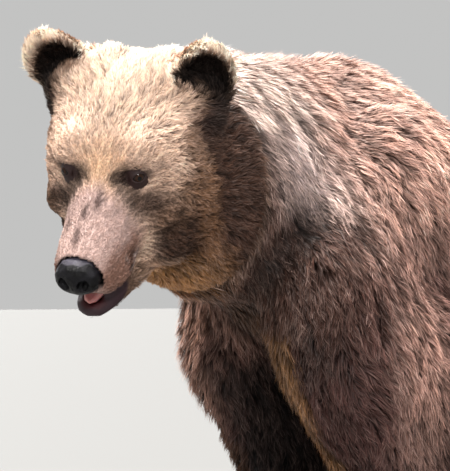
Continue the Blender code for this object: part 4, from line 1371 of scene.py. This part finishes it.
def tongue_tip(finish):
    """The tongue, with a groove along its middle."""
    obj = remeshed(node_copy("tongue_tip", ["tongue"]), 0.0012, 4)
    verts = coordinates(obj.data)
    across, _, up = in_head(verts).T
    groove = ramp(np.abs(across), 0.006, 0.0) * ramp(up, -0.044, -0.036)
    put_places(obj.data, verts - UP * (0.0022 * groove)[:, None])
    finished(obj, finish)
    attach(obj, BODY)
    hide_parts("tongue")


def claws(finish):
    """Each claw, rounded."""
    for kind, side, number in itertools.product(("fore", "hind"), SIDES, range(1, 6)):
        node = f"claw_{kind}_{side}_{number}"
        obj = node_copy(f"nail_{kind}_{side}_{number}", [node])
        smooth = obj.modifiers.new("Smooth", "SUBSURF")
        smooth.levels = smooth.render_levels = 2
        finished(settled(obj), finish)
        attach(obj, BODY)
        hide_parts(node)


def bear():
    """Every piece of the bear."""
    skin, surface, fields, piece, face_tree = body_skin()
    joined(skin, [lids_object(face_tree)])
    uv = unwrapped(skin)[: len(surface.tris)]
    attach(skin, BODY)
    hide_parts(*FLESH)
    chance = np.random.default_rng(5)
    owner = piece[surface.tris[:, 0]]
    for number, (name, locks) in enumerate(COAT_PIECES.items()):
        mine = owner == number
        tufts(name, locks, surface.tris[mine], uv[mine], fields, chance)
    finish = eye_material()
    for side in SIDES:
        eyeball(side, finish)
    nose(nose_material())
    tongue_tip(tongue_material())
    claws(horn_material())


# ---- floor, light and camera ----

CAMERA_PLACE = (2.0716, -1.8850, 0.68)
CAMERA_AZIMUTH = math.radians(55)  # from looking along +Y
CAMERA_RISE = math.radians(2.29)
LENS = 113.6  # millimetres, on a sensor 36 mm high
CHEST = (0.0, -0.35, 0.85)


def stage():
    """A wide grey floor under a pale sky."""
    bm = bmesh.new()
    bmesh.ops.create_grid(bm, x_segments=1, y_segments=1, size=60)
    floor = from_bmesh("floor", bm)
    made, _ = material("floor", {"Roughness": 0.9, "Base Color": (0.150, 0.150, 0.147, 1)})
    floor.data.materials.append(made)
    world = bpy.data.worlds.new("world")
    bpy.context.scene.world = world
    world.use_nodes = True
    sky = world.node_tree.nodes["Background"]
    sky.inputs["Color"].default_value = (0.99, 0.99, 0.98, 1)
    sky.inputs["Strength"].default_value = 0.55


def lamp(name, kind, place, **settings):
    """A light at a place, aimed at the chest."""
    data = bpy.data.lights.new(name, kind)
    for key, value in settings.items():
        setattr(data, key, value)
    obj = link(name, data)
    obj.location = place
    obj.rotation_euler = (Vector(CHEST) - Vector(place)).to_track_quat("-Z", "Y").to_euler()


def lights():
    """A strong soft light from above and a weaker one on the far side, a glint, and a broad weak fill."""
    above, beyond = Vector(CHEST) + Vector((-0.04, -0.16, 0.98)), Vector(CHEST) + Vector((-0.85, 0.25, 0.50))
    lamp("key", "SUN", above, energy=10.0, angle=math.radians(24), color=(1.0, 0.975, 0.94))
    lamp("rim", "SUN", beyond, energy=2.8, angle=math.radians(20))
    lamp("glint", "AREA", (2.5, -1.9, 1.7), size=0.3, energy=34)
    lamp("fill", "AREA", (1.9, -2.3, 3.6), size=3.5, energy=80)


def camera():
    data = bpy.data.cameras.new("camera")
    data.sensor_fit = "VERTICAL"
    data.sensor_height = 36
    data.lens = LENS
    obj = link("camera", data)
    obj.location = CAMERA_PLACE
    obj.rotation_euler = (math.radians(90) + CAMERA_RISE, 0, CAMERA_AZIMUTH)
    bpy.context.scene.camera = obj
    bpy.context.scene.view_settings.view_transform = "Standard"


bear()
stage()
lights()
camera()
